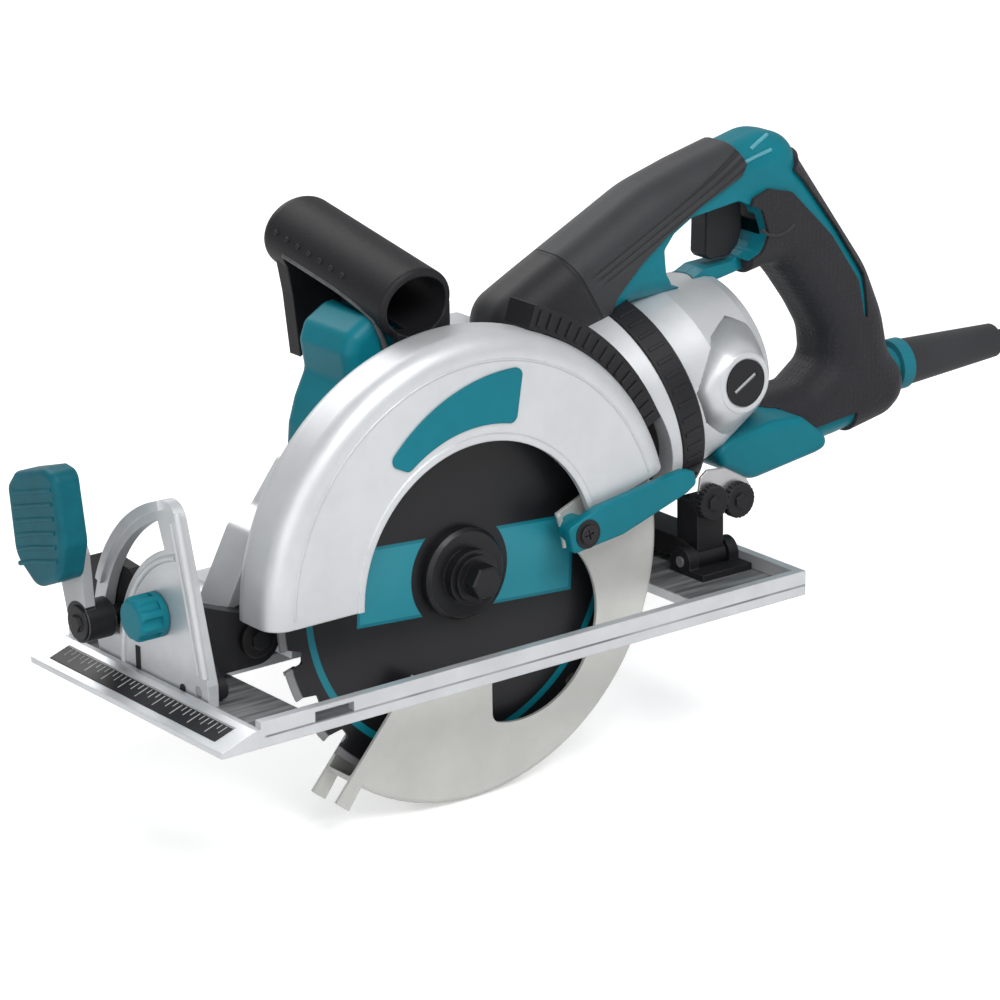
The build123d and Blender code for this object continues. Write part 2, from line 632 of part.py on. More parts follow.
def bearing_grooves(plane, inner, outer, width):
    """Ring sketches at both faces of a bearing, cut to a shallow depth."""
    low = inner + (outer - inner) * 0.3
    high = inner + (outer - inner) * 0.7
    extrude(disc(plane, high, low), amount=GROOVE_DEPTH, mode=Mode.SUBTRACT)
    extrude(disc(plane.offset(width), high, low), amount=-GROOVE_DEPTH, mode=Mode.SUBTRACT)


with BuildPart() as spindle_bearing:
    extrude(disc(arbor_plane(NEAR_BEARING_Y), NEAR_BEARING_R - SEAT_FIT, SPINDLE_R + RUN_FIT),
            amount=NEAR_BEARING_W)
    bearing_grooves(arbor_plane(NEAR_BEARING_Y), SPINDLE_R, NEAR_BEARING_R, NEAR_BEARING_W)
spindle_bearing.part.label = "spindle_bearing"
export_step(spindle_bearing.part, "parts/spindle_bearing.step")

with BuildPart() as spindle_end_bearing:
    extrude(disc(arbor_plane(SPINDLE_END_Y), END_BEARING_R - SEAT_FIT, SPINDLE_END_R + RUN_FIT),
            amount=END_BEARING_W)
    bearing_grooves(arbor_plane(SPINDLE_END_Y), SPINDLE_END_R, END_BEARING_R, END_BEARING_W)
spindle_end_bearing.part.label = "spindle_end_bearing"
export_step(spindle_end_bearing.part, "parts/spindle_end_bearing.step")

with BuildPart() as motor_front_bearing:
    extrude(disc(motor_plane(FRONT_BEARING_AT), FRONT_BEARING_R - SEAT_FIT, SHAFT_R),
            amount=FRONT_BEARING_W)
    bearing_grooves(motor_plane(FRONT_BEARING_AT), SHAFT_R, FRONT_BEARING_R, FRONT_BEARING_W)
motor_front_bearing.part.label = "motor_front_bearing"
export_step(motor_front_bearing.part, "parts/motor_front_bearing.step")

with BuildPart() as motor_rear_bearing:
    extrude(disc(motor_plane(REAR_BEARING_AT), REAR_BEARING_R - SEAT_FIT, SHAFT_END_R),
            amount=REAR_BEARING_W)
    bearing_grooves(motor_plane(REAR_BEARING_AT), SHAFT_END_R, REAR_BEARING_R, REAR_BEARING_W)
motor_rear_bearing.part.label = "motor_rear_bearing"
export_step(motor_rear_bearing.part, "parts/motor_rear_bearing.step")

# Retainer: flange against the guard side, bearing seat, and the lower guard's journal
with BuildPart() as bearing_retainer:
    extrude(disc(arbor_plane(UPPER_FAR_Y), RETAINER_FLANGE_R), amount=RETAINER_FLANGE_T)
    extrude(disc(arbor_plane(NEAR_BEARING_Y), SPIGOT_R - SEAT_FIT), amount=NEAR_BEARING_Y - UPPER_FAR_Y)
    extrude(disc(arbor_plane(UPPER_FAR_Y - RETAINER_FLANGE_T), JOURNAL_R),
            amount=UPPER_FAR_Y - RETAINER_FLANGE_T - JOURNAL_NEAR_Y)
    extrude(disc(arbor_plane(NEAR_BEARING_Y), NEAR_BEARING_R), amount=NEAR_BEARING_W, mode=Mode.SUBTRACT)
    extrude(disc(arbor_plane(NEAR_BEARING_Y), SPINDLE_R + 1), amount=NEAR_BEARING_Y, mode=Mode.SUBTRACT)
bearing_retainer.part.label = "bearing_retainer"
export_step(bearing_retainer.part, "parts/bearing_retainer.step")

# Gear housing: block behind the guard, nose lug for the depth pivot, collar for the motor
HOUSING_POINTS = [(-96, -25), (-101, -4.5), (-84, 27.5), (-72, 33.5), (-58, 51.5), (-40, 56),
                  (-28, 85.5), (58, 85.5), (76, 76), (88, 73), (110, -0.5), (100, -12), (60, -21),
                  (30, -25.5)]
HOUSING_CORNER = 5.0
POCKET_CORNER = 3.0
FAR_STEP = [(-130, -2), (-40, -2), (-36, 20), (-24, 34), (-6, 42), (-6, 100), (-130, 100)]
FAR_STEP_Y = 46.0
TOP_POCKET = [(1, 42), (1, 75), (50, 75), (62, 71), (30, 50), (12, 38)]
NOSE_POCKET = [(-64, -18), (-64, -8), (-44, -8), (-44, -18)]
COVER_POINTS = [(-72, -23), (-72, -4.5), (-38, -4.5), (-33.5, 18), (-22, 31.5), (-3.5, 39.5), (-3.5, 83),
                (57, 83), (75, 73.5), (84, 60), (96, 10), (90, -10), (58, -18.5), (28, -23)]
COVER_SCREWS = [(-67, -14), (-29.5, 11), (1.5, 79), (54, 79), (82, 55), (88, -5)]
COVER_SCREW_L = 9.0
GUARD_SCREW_L = 6.0
HOUSING_W = HOUSING_FAR_Y - HOUSING_NEAR_Y
with BuildPart() as gear_housing:
    extrude(outline(arbor_plane(HOUSING_FAR_Y), HOUSING_POINTS, HOUSING_CORNER), amount=HOUSING_W)
    extrude(outline(arbor_plane(HOUSING_FAR_Y), FAR_STEP, HOUSING_CORNER), amount=HOUSING_FAR_Y - FAR_STEP_Y,
            mode=Mode.SUBTRACT)
    extrude(rect(arbor_plane(NEAR_EAR_Y[1] + PASS_GAP), (-130, NOSE_X), (-60, 60)), amount=30,
            mode=Mode.SUBTRACT)
    extrude(disc(side_plane(FAR_EAR_Y[0] - PASS_GAP), LUG_R, at=(PIVOT_X, PIVOT_Z)),
            amount=FAR_EAR_Y[0] - NEAR_EAR_Y[1] - 2 * PASS_GAP)
    revolve(turned([(FLANGE_AT, 0), (FLANGE_AT, COLLAR_R), (BAFFLE_AT, COLLAR_R), (BAFFLE_AT, 0)]),
            axis=MOTOR_AXIS)
    extrude(disc(arbor_plane(UPPER_FAR_Y), UPPER_R + SHROUD_T + PASS_GAP), amount=60,
            mode=Mode.SUBTRACT)
    extrude(disc(arbor_plane(HOUSING_FAR_Y), GEAR_CHAMBER_R), amount=HOUSING_FAR_Y - NEAR_BEARING_Y,
            mode=Mode.SUBTRACT)
    extrude(disc(arbor_plane(HOUSING_FAR_Y), SPIGOT_R), amount=HOUSING_W, mode=Mode.SUBTRACT)
    for pocket in (TOP_POCKET, NOSE_POCKET):
        extrude(outline(arbor_plane(HOUSING_FAR_Y), pocket, POCKET_CORNER), amount=HOUSING_W - 8,
                mode=Mode.SUBTRACT)
    bore_end = FRONT_BEARING_AT + FRONT_BEARING_W
    revolve(turned([(0, 0), (0, 9), (FRONT_BEARING_AT, 9), (FRONT_BEARING_AT, FRONT_BEARING_R),
                    (bore_end, FRONT_BEARING_R), (bore_end, 10), (FAN_CHAMBER_AT, 10),
                    (FAN_CHAMBER_AT, FAN_CHAMBER_R), (FLANGE_AT, FAN_CHAMBER_R),
                    (FLANGE_AT, COLLAR_BORE_R), (BAFFLE_AT, COLLAR_BORE_R), (BAFFLE_AT, 0)]),
            axis=MOTOR_AXIS, mode=Mode.SUBTRACT)
    extrude(disc(side_plane(FAR_EAR_Y[1]), PIVOT_PIN_R + RUN_FIT, at=(PIVOT_X, PIVOT_Z)), amount=80,
            mode=Mode.SUBTRACT)
    with BuildSketch(arbor_plane(HOUSING_NEAR_Y + GUARD_SCREW_L)):
        with Locations(*GUARD_SCREWS):
            Circle(SCREW_R + SEAT_FIT)
    extrude(amount=GUARD_SCREW_L, mode=Mode.SUBTRACT)
    with BuildSketch(arbor_plane(HOUSING_FAR_Y)):
        with Locations(*COVER_SCREWS):
            Circle(SCREW_R + SEAT_FIT)
    extrude(amount=COVER_SCREW_L, mode=Mode.SUBTRACT)
gear_housing.part.label = "gear_housing"
export_step(gear_housing.part, "parts/gear_housing.step")

# Gear cover: closes the far side and carries the spindle's end bearing
COVER_Y = HOUSING_FAR_Y + COVER_T
COVER_BOSS_R = 17.0
DEPTH_BOSS_R = 8.0
DEPTH_BOSS_T = 1.0
DEPTH_BOLT = (DEPTH_BOLT_X, DEPTH_BOLT_Z)
STUD_DEPTH = 4.0
with BuildPart() as gear_cover:
    extrude(outline(arbor_plane(COVER_Y), COVER_POINTS, HOUSING_CORNER), amount=COVER_T)
    fillet(gear_cover.faces().sort_by(Axis.Y)[-1].edges(), radius=2.0)
    extrude(disc(arbor_plane(HOUSING_FAR_Y), COVER_BOSS_R),
            amount=HOUSING_FAR_Y - SPINDLE_END_Y + END_BEARING_W)
    extrude(disc(side_plane(COVER_Y + DEPTH_BOSS_T), DEPTH_BOSS_R, at=DEPTH_BOLT), amount=COVER_T)
    extrude(disc(arbor_plane(SPINDLE_END_Y), END_BEARING_R), amount=END_BEARING_W, mode=Mode.SUBTRACT)
    extrude(disc(arbor_plane(COVER_Y), LOCK_PIN_R + RUN_FIT, at=(0, LOCK_PIN_AT)), amount=COVER_T,
            mode=Mode.SUBTRACT)
    extrude(disc(side_plane(COVER_Y + DEPTH_BOSS_T), DEPTH_STUD_R + RUN_FIT, at=DEPTH_BOLT),
            amount=STUD_DEPTH + DEPTH_BOSS_T, mode=Mode.SUBTRACT)
    with BuildSketch(arbor_plane(COVER_Y)):
        with Locations(*COVER_SCREWS):
            Circle(SCREW_R + PASS_GAP / 2)
    extrude(amount=COVER_T, mode=Mode.SUBTRACT)
gear_cover.part.label = "gear_cover"
export_step(gear_cover.part, "parts/gear_cover.step")

# Shaft lock: a push button whose pin drops into a notch of the spindle's disc
LOCK_BUTTON_R = 6.0
LOCK_BUTTON_T = 6.0
with BuildPart() as shaft_lock:
    button_y = COVER_Y + LOCK_TRAVEL + PASS_GAP
    extrude(disc(arbor_plane(button_y + LOCK_BUTTON_T), LOCK_BUTTON_R, at=(0, LOCK_PIN_AT)),
            amount=LOCK_BUTTON_T)
    fillet(shaft_lock.faces().sort_by(Axis.Y)[-1].edges(), radius=1.5)
    extrude(disc(arbor_plane(button_y), LOCK_PIN_R, at=(0, LOCK_PIN_AT)),
            amount=button_y - LOCK_DISC_Y - 1.0)
shaft_lock.part.label = "shaft_lock"
export_step(shaft_lock.part, "parts/shaft_lock.step")

# Screws of the guard and of the cover
with BuildPart() as guard_screws:
    with BuildSketch(arbor_plane(HOUSING_NEAR_Y + GUARD_SCREW_L - 0.5)):
        with Locations(*GUARD_SCREWS):
            Circle(SCREW_R)
    extrude(amount=GUARD_SCREW_L - 0.5 + UPPER_WALL)
    with BuildSketch(arbor_plane(UPPER_FAR_Y - UPPER_WALL)):
        with Locations(*GUARD_SCREWS):
            Circle(SCREW_HEAD_R)
    extrude(amount=SCREW_HEAD_T)
guard_screws.part.label = "guard_screws"
export_step(guard_screws.part, "parts/guard_screws.step")

with BuildPart() as cover_screws:
    with BuildSketch(arbor_plane(COVER_Y)):
        with Locations(*COVER_SCREWS):
            Circle(SCREW_R)
    extrude(amount=COVER_T + COVER_SCREW_L - 0.5)
    with BuildSketch(arbor_plane(COVER_Y + SCREW_HEAD_T)):
        with Locations(*COVER_SCREWS):
            Circle(SCREW_HEAD_R - 0.5)
    extrude(amount=SCREW_HEAD_T)
cover_screws.part.label = "cover_screws"
export_step(cover_screws.part, "parts/cover_screws.step")

# Baffle ring between the gear housing and the motor housing
with BuildPart() as baffle_ring:
    extrude(disc(motor_plane(BAFFLE_AT), COLLAR_R, COLLAR_BORE_R), amount=MOTOR_AT - BAFFLE_AT)
    chamfer(baffle_ring.faces().filter_by(GeomType.CYLINDER).sort_by(SortBy.AREA)[-1].edges(), length=1.2)
baffle_ring.part.label = "baffle_ring"
export_step(baffle_ring.part, "parts/baffle_ring.step")

# Motor housing: a shell with a rounded end, and a boss on each side for a brush
MOTOR_INNER_R = MOTOR_R - MOTOR_WALL
MOTOR_BACK = 4.0
BRUSH_BOSS_REACH = MOTOR_R + 2.0
BRUSH_TUBE_R = BRUSH_HOLDER_R + 3.0
BRUSH_TUBE_FROM = 18.0
CAP_SEAT = MOTOR_R - 1.0
BRUSH_X, BRUSH_Y, BRUSH_Z = motor_point(BRUSH_AT)
REAR_TAPER = 7.0
REAR_ROUND = 7.0


def motor_profile(grow):
    """Outline of the motor housing over its shaft, grown for a clearance: a taper and a chamfered end."""
    return [(MOTOR_AT, MOTOR_R + grow), (MOTOR_TAPER_AT, MOTOR_R + grow),
            (MOTOR_END - REAR_ROUND, MOTOR_R - REAR_TAPER + grow),
            (MOTOR_END - REAR_ROUND / 3, MOTOR_R - REAR_TAPER - REAR_ROUND / 3 + grow),
            (MOTOR_END + grow, MOTOR_R - REAR_TAPER - REAR_ROUND + grow), (MOTOR_END + grow, 0)]


with BuildPart() as motor_housing:
    revolve(turned([(MOTOR_AT, 0)] + motor_profile(0)), axis=MOTOR_AXIS)
    extrude(disc(side_plane(BRUSH_Y + BRUSH_BOSS_REACH), BRUSH_BOSS_R, at=(BRUSH_X, BRUSH_Z)),
            amount=2 * BRUSH_BOSS_REACH)
    fillet(motor_housing.faces().filter_by(Axis.Y).edges(), radius=1.2)
    inner_end = MOTOR_END - MOTOR_BACK
    revolve(turned([(MOTOR_AT, 0), (MOTOR_AT, MOTOR_INNER_R), (FIELD_END + 0.7, MOTOR_INNER_R),
                    (MOTOR_END - REAR_ROUND - 1, MOTOR_INNER_R - REAR_TAPER),
                    (inner_end, MOTOR_INNER_R - REAR_TAPER - REAR_ROUND), (inner_end, 0)]),
            axis=MOTOR_AXIS, mode=Mode.SUBTRACT)
    extrude(disc(motor_plane(REAR_BEARING_AT - 1), REAR_BEARING_R + 2.5),
            amount=inner_end - REAR_BEARING_AT + 1)
    extrude(disc(motor_plane(REAR_BEARING_AT - 1), REAR_BEARING_R),
            amount=inner_end - REAR_BEARING_AT + 1, mode=Mode.SUBTRACT)
    for side in (-1, 1):
        start = BRUSH_Y + side * BRUSH_TUBE_FROM
        extrude(disc(side_plane(start), BRUSH_TUBE_R, at=(BRUSH_X, BRUSH_Z)),
                amount=-side * (MOTOR_INNER_R + 0.5 - BRUSH_TUBE_FROM))
        extrude(disc(side_plane(start), BRUSH_HOLDER_R, at=(BRUSH_X, BRUSH_Z)),
                amount=-side * (BRUSH_BOSS_REACH - BRUSH_TUBE_FROM), mode=Mode.SUBTRACT)
        extrude(disc(side_plane(BRUSH_Y + side * CAP_SEAT), BRUSH_CAP_R + PASS_GAP, at=(BRUSH_X, BRUSH_Z)),
                amount=-side * (BRUSH_BOSS_REACH - CAP_SEAT), mode=Mode.SUBTRACT)
motor_housing.part.label = "motor_housing"
export_step(motor_housing.part, "parts/motor_housing.step")

FIELD_R = MOTOR_INNER_R - 0.1
with BuildPart() as field_core:
    with BuildSketch(motor_plane(FIELD_AT)):
        Circle(FIELD_R)
        Circle(CORE_R + CORE_AIR_GAP, mode=Mode.SUBTRACT)
        with Locations((0, FIELD_R - 9), (0, 9 - FIELD_R)):
            Rectangle(30, 7, mode=Mode.SUBTRACT)
    extrude(amount=FIELD_END - FIELD_AT)
field_core.part.label = "field_core"
export_step(field_core.part, "parts/field_core.step")

# Brushes: brass tubes in the housing's bosses, carbon blocks in them, caps outside
BRUSH_END = 32.0
TUBE_END = CAP_SEAT - 3.0
with BuildPart() as brush_holders:
    for side in (-1, 1):
        with BuildSketch(side_plane(BRUSH_Y + side * BRUSH_TUBE_FROM)):
            with Locations((BRUSH_X, BRUSH_Z)):
                Circle(BRUSH_HOLDER_R - SEAT_FIT)
                Rectangle(BRUSH_L + 0.2, BRUSH_W + 0.2, mode=Mode.SUBTRACT)
        extrude(amount=-side * (TUBE_END - BRUSH_TUBE_FROM))
brush_holders.part.label = "brush_holders"
export_step(brush_holders.part, "parts/brush_holders.step")

with BuildPart() as carbon_brushes:
    for side in (-1, 1):
        with BuildSketch(side_plane(BRUSH_Y + side * (COMMUTATOR_R + 0.15))):
            with Locations((BRUSH_X, BRUSH_Z)):
                Rectangle(BRUSH_L, BRUSH_W)
        extrude(amount=-side * (BRUSH_END - COMMUTATOR_R - 0.15))
carbon_brushes.part.label = "carbon_brushes"
export_step(carbon_brushes.part, "parts/carbon_brushes.step")

CAP_T = 3.4
with BuildPart() as brush_caps:
    for side in (-1, 1):
        extrude(disc(side_plane(BRUSH_Y + side * CAP_SEAT), BRUSH_CAP_R, at=(BRUSH_X, BRUSH_Z)),
                amount=-side * CAP_T)
        extrude(disc(side_plane(BRUSH_Y + side * TUBE_END), BRUSH_HOLDER_R - SEAT_FIT, at=(BRUSH_X, BRUSH_Z)),
                amount=-side * (CAP_SEAT - TUBE_END))
        with BuildSketch(side_plane(BRUSH_Y + side * (CAP_SEAT + CAP_T))):
            with Locations((BRUSH_X, BRUSH_Z)):
                Rectangle(BRUSH_CAP_R * 1.3, 2.0, rotation=30)
        extrude(amount=side * 1.5, mode=Mode.SUBTRACT)
brush_caps.part.label = "brush_caps"
export_step(brush_caps.part, "parts/brush_caps.step")

# Space that the housing, the collar and the motor take up, cut from what is fitted round them
with BuildPart() as motor_space:
    extrude(outline(arbor_plane(COVER_Y + 5), HOUSING_POINTS, HOUSING_CORNER), amount=HOUSING_W + 10)
    extrude(outline(arbor_plane(COVER_Y + 5), FAR_STEP, HOUSING_CORNER), amount=COVER_Y + 5 - FAR_STEP_Y,
            mode=Mode.SUBTRACT)
    revolve(turned([(FLANGE_AT, 0), (FLANGE_AT, COLLAR_R + SEAT_FIT), (MOTOR_AT, COLLAR_R + SEAT_FIT)]
                   + motor_profile(SEAT_FIT)), axis=MOTOR_AXIS)

# Rear handle: one outline, two half shells, with a hole above a slim bow under the trigger
HANDLE_POINTS = [(54, 76), (44, 92), (72, 106), (131, 134.5), (156, 141.5), (198, 151), (214, 147),
                 (216, 136), (256, 80), (266, 57), (270, 38), (285, 19), (270, 8), (240, 2.5),
                 (196, -2), (188, 18), (200, 27), (222, 28), (236, 38), (234.5, 51.5), (226.5, 65),
                 (215.5, 80), (206, 91), (196, 91), (166, 86), (121, 86), (105, 78), (60, 72)]
HANDLE_ROUND = (0, 14, 40, 60, 60, 20, 14, 8, 60, 60, 20, 13, 14, 40, 13, 13, 13, 8, 8, 20, 60, 60, 8, 20, 40,
                10, 14, 0)
TRIGGER_HOLE = [(151, 121), (141, 115.5), (135.5, 109), (136.5, 98), (142, 90), (158, 90), (166, 93.5),
                (180, 94), (190, 98), (194, 106), (190, 118), (178, 124)]
TRIGGER_SLOT = [(152, 110), (152, 134), (193, 134), (193, 101), (186, 95.5), (172, 95.5)]
BOW_X = (146.0, 188.0)
BOW_Z = (80.0, 95.5)
BOW_W = 14.0
HANDLE_CAVITY = [(150, 126.5), (153, 132.5), (190, 141), (206, 139), (209, 131.5), (248, 77), (258, 54),
                 (262, 37), (268, 27), (264, 14), (242, 9.5), (245, 38), (241, 53), (233, 67.5), (222, 82.5),
                 (210, 98), (192, 106), (190, 126)]
HANDLE_SCREWS = [(96, 102), (227, 14), (246, 62)]
HANDLE_WALL = 5.0
TRIGGER_GAP = 0.5
HANDLE_FAR = HANDLE_Y + HANDLE_W / 2
with BuildPart() as handle_core:
    extrude(outline(handle_plane(HANDLE_FAR), HANDLE_POINTS, HANDLE_ROUND), amount=HANDLE_W)
    fillet(handle_core.faces().filter_by(Axis.Y).edges(), radius=HANDLE_EDGE)
    extrude(outline(handle_plane(HANDLE_FAR), TRIGGER_HOLE, 3.0), amount=HANDLE_W, mode=Mode.SUBTRACT)
    for side in (-1, 1):
        extrude(rect(handle_plane(HANDLE_Y + side * BOW_W / 2), BOW_X, BOW_Z), amount=-side * HANDLE_W / 2,
                mode=Mode.SUBTRACT)
    add(motor_space.part, mode=Mode.SUBTRACT)

# Strain relief: a plug in the handle, a collar and a tapered sleeve
SLEEVE_PLUG_R = 9.0
SLEEVE_COLLAR_R = 12.0
SLEEVE_COLLAR_X = (281.0, 288.0)
SLEEVE_PLANE = handle_plane(HANDLE_Y, SLEEVE_RISE)
SLEEVE_AXIS = Axis(SLEEVE_PLANE.origin, (1, 0, 0))
with BuildPart() as cord_sleeve:
    revolve(outline(SLEEVE_PLANE, [(SLEEVE_X[0], 0), (SLEEVE_X[0], SLEEVE_PLUG_R),
                                   (SLEEVE_COLLAR_X[0], SLEEVE_PLUG_R),
                                   (SLEEVE_COLLAR_X[0], SLEEVE_COLLAR_R),
                                   (SLEEVE_COLLAR_X[1], SLEEVE_COLLAR_R),
                                   (SLEEVE_COLLAR_X[1], SLEEVE_R[0]), (SLEEVE_X[1], SLEEVE_R[1]),
                                   (SLEEVE_X[1], 0)]), axis=SLEEVE_AXIS)
cord_sleeve.part.label = "cord_sleeve"
export_step(cord_sleeve.part, "parts/cord_sleeve.step")

WIRE_ROOM = 10.0
with BuildPart() as sleeve_space:
    revolve(outline(SLEEVE_PLANE, [(SLEEVE_X[0] - WIRE_ROOM, 0),
                                   (SLEEVE_X[0] - WIRE_ROOM, SLEEVE_PLUG_R + SEAT_FIT),
                                   (SLEEVE_COLLAR_X[0], SLEEVE_PLUG_R + SEAT_FIT),
                                   (SLEEVE_COLLAR_X[0], SLEEVE_COLLAR_R + SEAT_FIT),
                                   (SLEEVE_X[1], SLEEVE_COLLAR_R + SEAT_FIT), (SLEEVE_X[1], 0)]),
            axis=SLEEVE_AXIS)

with BuildPart() as handle_hollow:
    extrude(outline(handle_plane(HANDLE_FAR - HANDLE_WALL), HANDLE_CAVITY, 2.0),
            amount=HANDLE_W - 2 * HANDLE_WALL)
    extrude(outline(handle_plane(HANDLE_Y + TRIGGER_W / 2 + TRIGGER_GAP), TRIGGER_SLOT, 2.0),
            amount=TRIGGER_W + 2 * TRIGGER_GAP)
    add(sleeve_space.part)

HANDLE_SCREW_L = 26.0
SCREW_BOSS_R = 5.5
HANDLE_HEAD_DEPTH = 4.0
with BuildPart() as handle_left:
    add(handle_core.part)
    split(bisect_by=Plane(origin=(0, HANDLE_Y, 0), z_dir=(0, -1, 0)), keep=Keep.TOP)
    add(handle_hollow.part, mode=Mode.SUBTRACT)
    extrude(disc(handle_plane(HANDLE_Y), SCREW_BOSS_R, at=HANDLE_SCREWS[-1]), amount=HANDLE_W / 2 - 1)
    extrude(disc(handle_plane(HANDLE_Y + TRIGGER_W / 2), TRIGGER_PIN_R, at=TRIGGER_PIVOT),
            amount=TRIGGER_W / 2 + HANDLE_W / 2 - HANDLE_WALL + 1)
    with BuildSketch(handle_plane(HANDLE_FAR)):
        with Locations(*HANDLE_SCREWS):
            Circle(SCREW_R + SEAT_FIT)
    extrude(amount=HANDLE_SCREW_L + HANDLE_HEAD_DEPTH, mode=Mode.SUBTRACT)
handle_left.part.label = "handle_left"
export_step(handle_left.part, "parts/handle_left.step")

with BuildPart() as handle_right:
    add(handle_core.part)
    split(bisect_by=Plane(origin=(0, HANDLE_Y, 0), z_dir=(0, 1, 0)), keep=Keep.TOP)
    add(handle_hollow.part, mode=Mode.SUBTRACT)
    extrude(disc(handle_plane(HANDLE_Y), SCREW_BOSS_R, at=HANDLE_SCREWS[-1]), amount=1 - HANDLE_W / 2)
    with BuildSketch(handle_plane(HANDLE_FAR)):
        with Locations(*HANDLE_SCREWS):
            Circle(SCREW_R + PASS_GAP / 2)
    extrude(amount=HANDLE_W, mode=Mode.SUBTRACT)
    with BuildSketch(handle_plane(HANDLE_FAR)):
        with Locations(*HANDLE_SCREWS):
            Circle(SCREW_HEAD_R + PASS_GAP / 2)
    extrude(amount=HANDLE_HEAD_DEPTH, mode=Mode.SUBTRACT)
handle_right.part.label = "handle_right"
export_step(handle_right.part, "parts/handle_right.step")

with BuildPart() as handle_screws:
    with BuildSketch(handle_plane(HANDLE_FAR - HANDLE_HEAD_DEPTH)):
        with Locations(*HANDLE_SCREWS):
            Circle(SCREW_R)
    extrude(amount=HANDLE_SCREW_L - 1)
    with BuildSketch(handle_plane(HANDLE_FAR - HANDLE_HEAD_DEPTH + SCREW_HEAD_T)):
        with Locations(*HANDLE_SCREWS):
            Circle(SCREW_HEAD_R)
    extrude(amount=SCREW_HEAD_T)
handle_screws.part.label = "handle_screws"
export_step(handle_screws.part, "parts/handle_screws.step")

# Saddle under the motor, in line with the handle's foot
SADDLE_POINTS = [(171.5, 0.5), (154, 10.5), (151.5, 19), (164, 23), (187, 25.5), (202, 24), (215, 13.5),
                 (217, 7.5), (210, 5.5)]
SADDLE_ROUND = (14, 5, 5, 14, 14, 8, 5, 4, 14)
SADDLE_W = 66.0
with BuildPart() as handle_saddle:
    extrude(outline(handle_plane(HANDLE_Y + SADDLE_W / 2), SADDLE_POINTS, SADDLE_ROUND), amount=SADDLE_W)
    fillet(handle_saddle.faces().filter_by(Axis.Y).edges(), radius=3.5)
    add(motor_space.part, mode=Mode.SUBTRACT)
    add(handle_core.part, mode=Mode.SUBTRACT)
handle_saddle.part.label = "handle_saddle"
export_step(handle_saddle.part, "parts/handle_saddle.step")

# Soft skins over the bar and the grip: the handle grown by the skin's thickness, less the handle
BAR_SKIN = [(36, 88), (44, 112), (139, 160), (172, 168), (178, 150), (181.5, 140), (178, 135.5), (155.5, 126),
            (136, 115.5), (122, 106), (108, 93), (104, 84), (60, 74), (46, 78)]
GRIP_SKIN = [(186, 94), (183, 106), (182, 117), (185, 124), (194, 127), (207, 123.5), (231, 99.5),
             (246.8, 76.5), (250.5, 58), (252.5, 58), (251.5, 78.2), (235.5, 102.3), (215.5, 127),
             (209, 133), (222, 144), (264, 106), (292, 55), (304, 20), (292, 2), (249, -2), (247, 14),
             (222, 11.5), (186, 8), (186, 36), (196, 60)]
with BuildPart() as skin_space:
    with BuildSketch(handle_plane(HANDLE_FAR + SKIN_T)):
        with BuildLine():
            FilletPolyline(*HANDLE_POINTS, radius=HANDLE_ROUND, close=True)
        make_face()
        offset(amount=SKIN_T, kind=Kind.INTERSECTION)
    extrude(amount=HANDLE_W + 2 * SKIN_T)
    fillet(skin_space.faces().filter_by(Axis.Y).edges(), radius=HANDLE_EDGE + SKIN_T)
    add(handle_core.part, mode=Mode.SUBTRACT)
    add(motor_space.part, mode=Mode.SUBTRACT)
    add(sleeve_space.part, mode=Mode.SUBTRACT)
    extrude(outline(handle_plane(HANDLE_FAR + SKIN_T), TRIGGER_HOLE, 3.0), amount=HANDLE_W + 2 * SKIN_T,
            mode=Mode.SUBTRACT)
    extrude(outline(handle_plane(HANDLE_FAR + SKIN_T), SADDLE_POINTS), amount=HANDLE_W + 2 * SKIN_T,
            mode=Mode.SUBTRACT)
    with BuildSketch(handle_plane(HANDLE_FAR + SKIN_T)):
        with Locations(*HANDLE_SCREWS):
            Circle(SCREW_HEAD_R + PASS_GAP)
    extrude(amount=SKIN_T, mode=Mode.SUBTRACT)

with BuildPart() as bar_skin:
    extrude(outline(handle_plane(HANDLE_FAR + SKIN_T), BAR_SKIN), amount=HANDLE_W + 2 * SKIN_T)
    add(skin_space.part, mode=Mode.INTERSECT)
bar_skin.part.label = "bar_skin"
export_step(bar_skin.part, "parts/bar_skin.step")

with BuildPart() as grip_skin:
    extrude(outline(handle_plane(HANDLE_FAR + SKIN_T), GRIP_SKIN), amount=HANDLE_W + 2 * SKIN_T)
    add(skin_space.part, mode=Mode.INTERSECT)
grip_skin.part.label = "grip_skin"
export_step(grip_skin.part, "parts/grip_skin.step")

# Trigger and the switch behind it
TRIGGER_POINTS = [(167.5, 128), (168, 112), (167.5, 99), (169.5, 96.5), (181, 96.5), (186, 101), (188.5, 108),
                  (187, 128)]
with BuildPart() as trigger:
    extrude(outline(handle_plane(HANDLE_Y + TRIGGER_W / 2), TRIGGER_POINTS, 2.0), amount=TRIGGER_W)
    fillet(trigger.faces().filter_by(Axis.Y).edges(), radius=1.5)
    extrude(disc(handle_plane(HANDLE_FAR), TRIGGER_PIN_R + RUN_FIT, at=TRIGGER_PIVOT), amount=HANDLE_W,
            mode=Mode.SUBTRACT)
trigger.part.label = "trigger"
export_step(trigger.part, "parts/trigger.step")

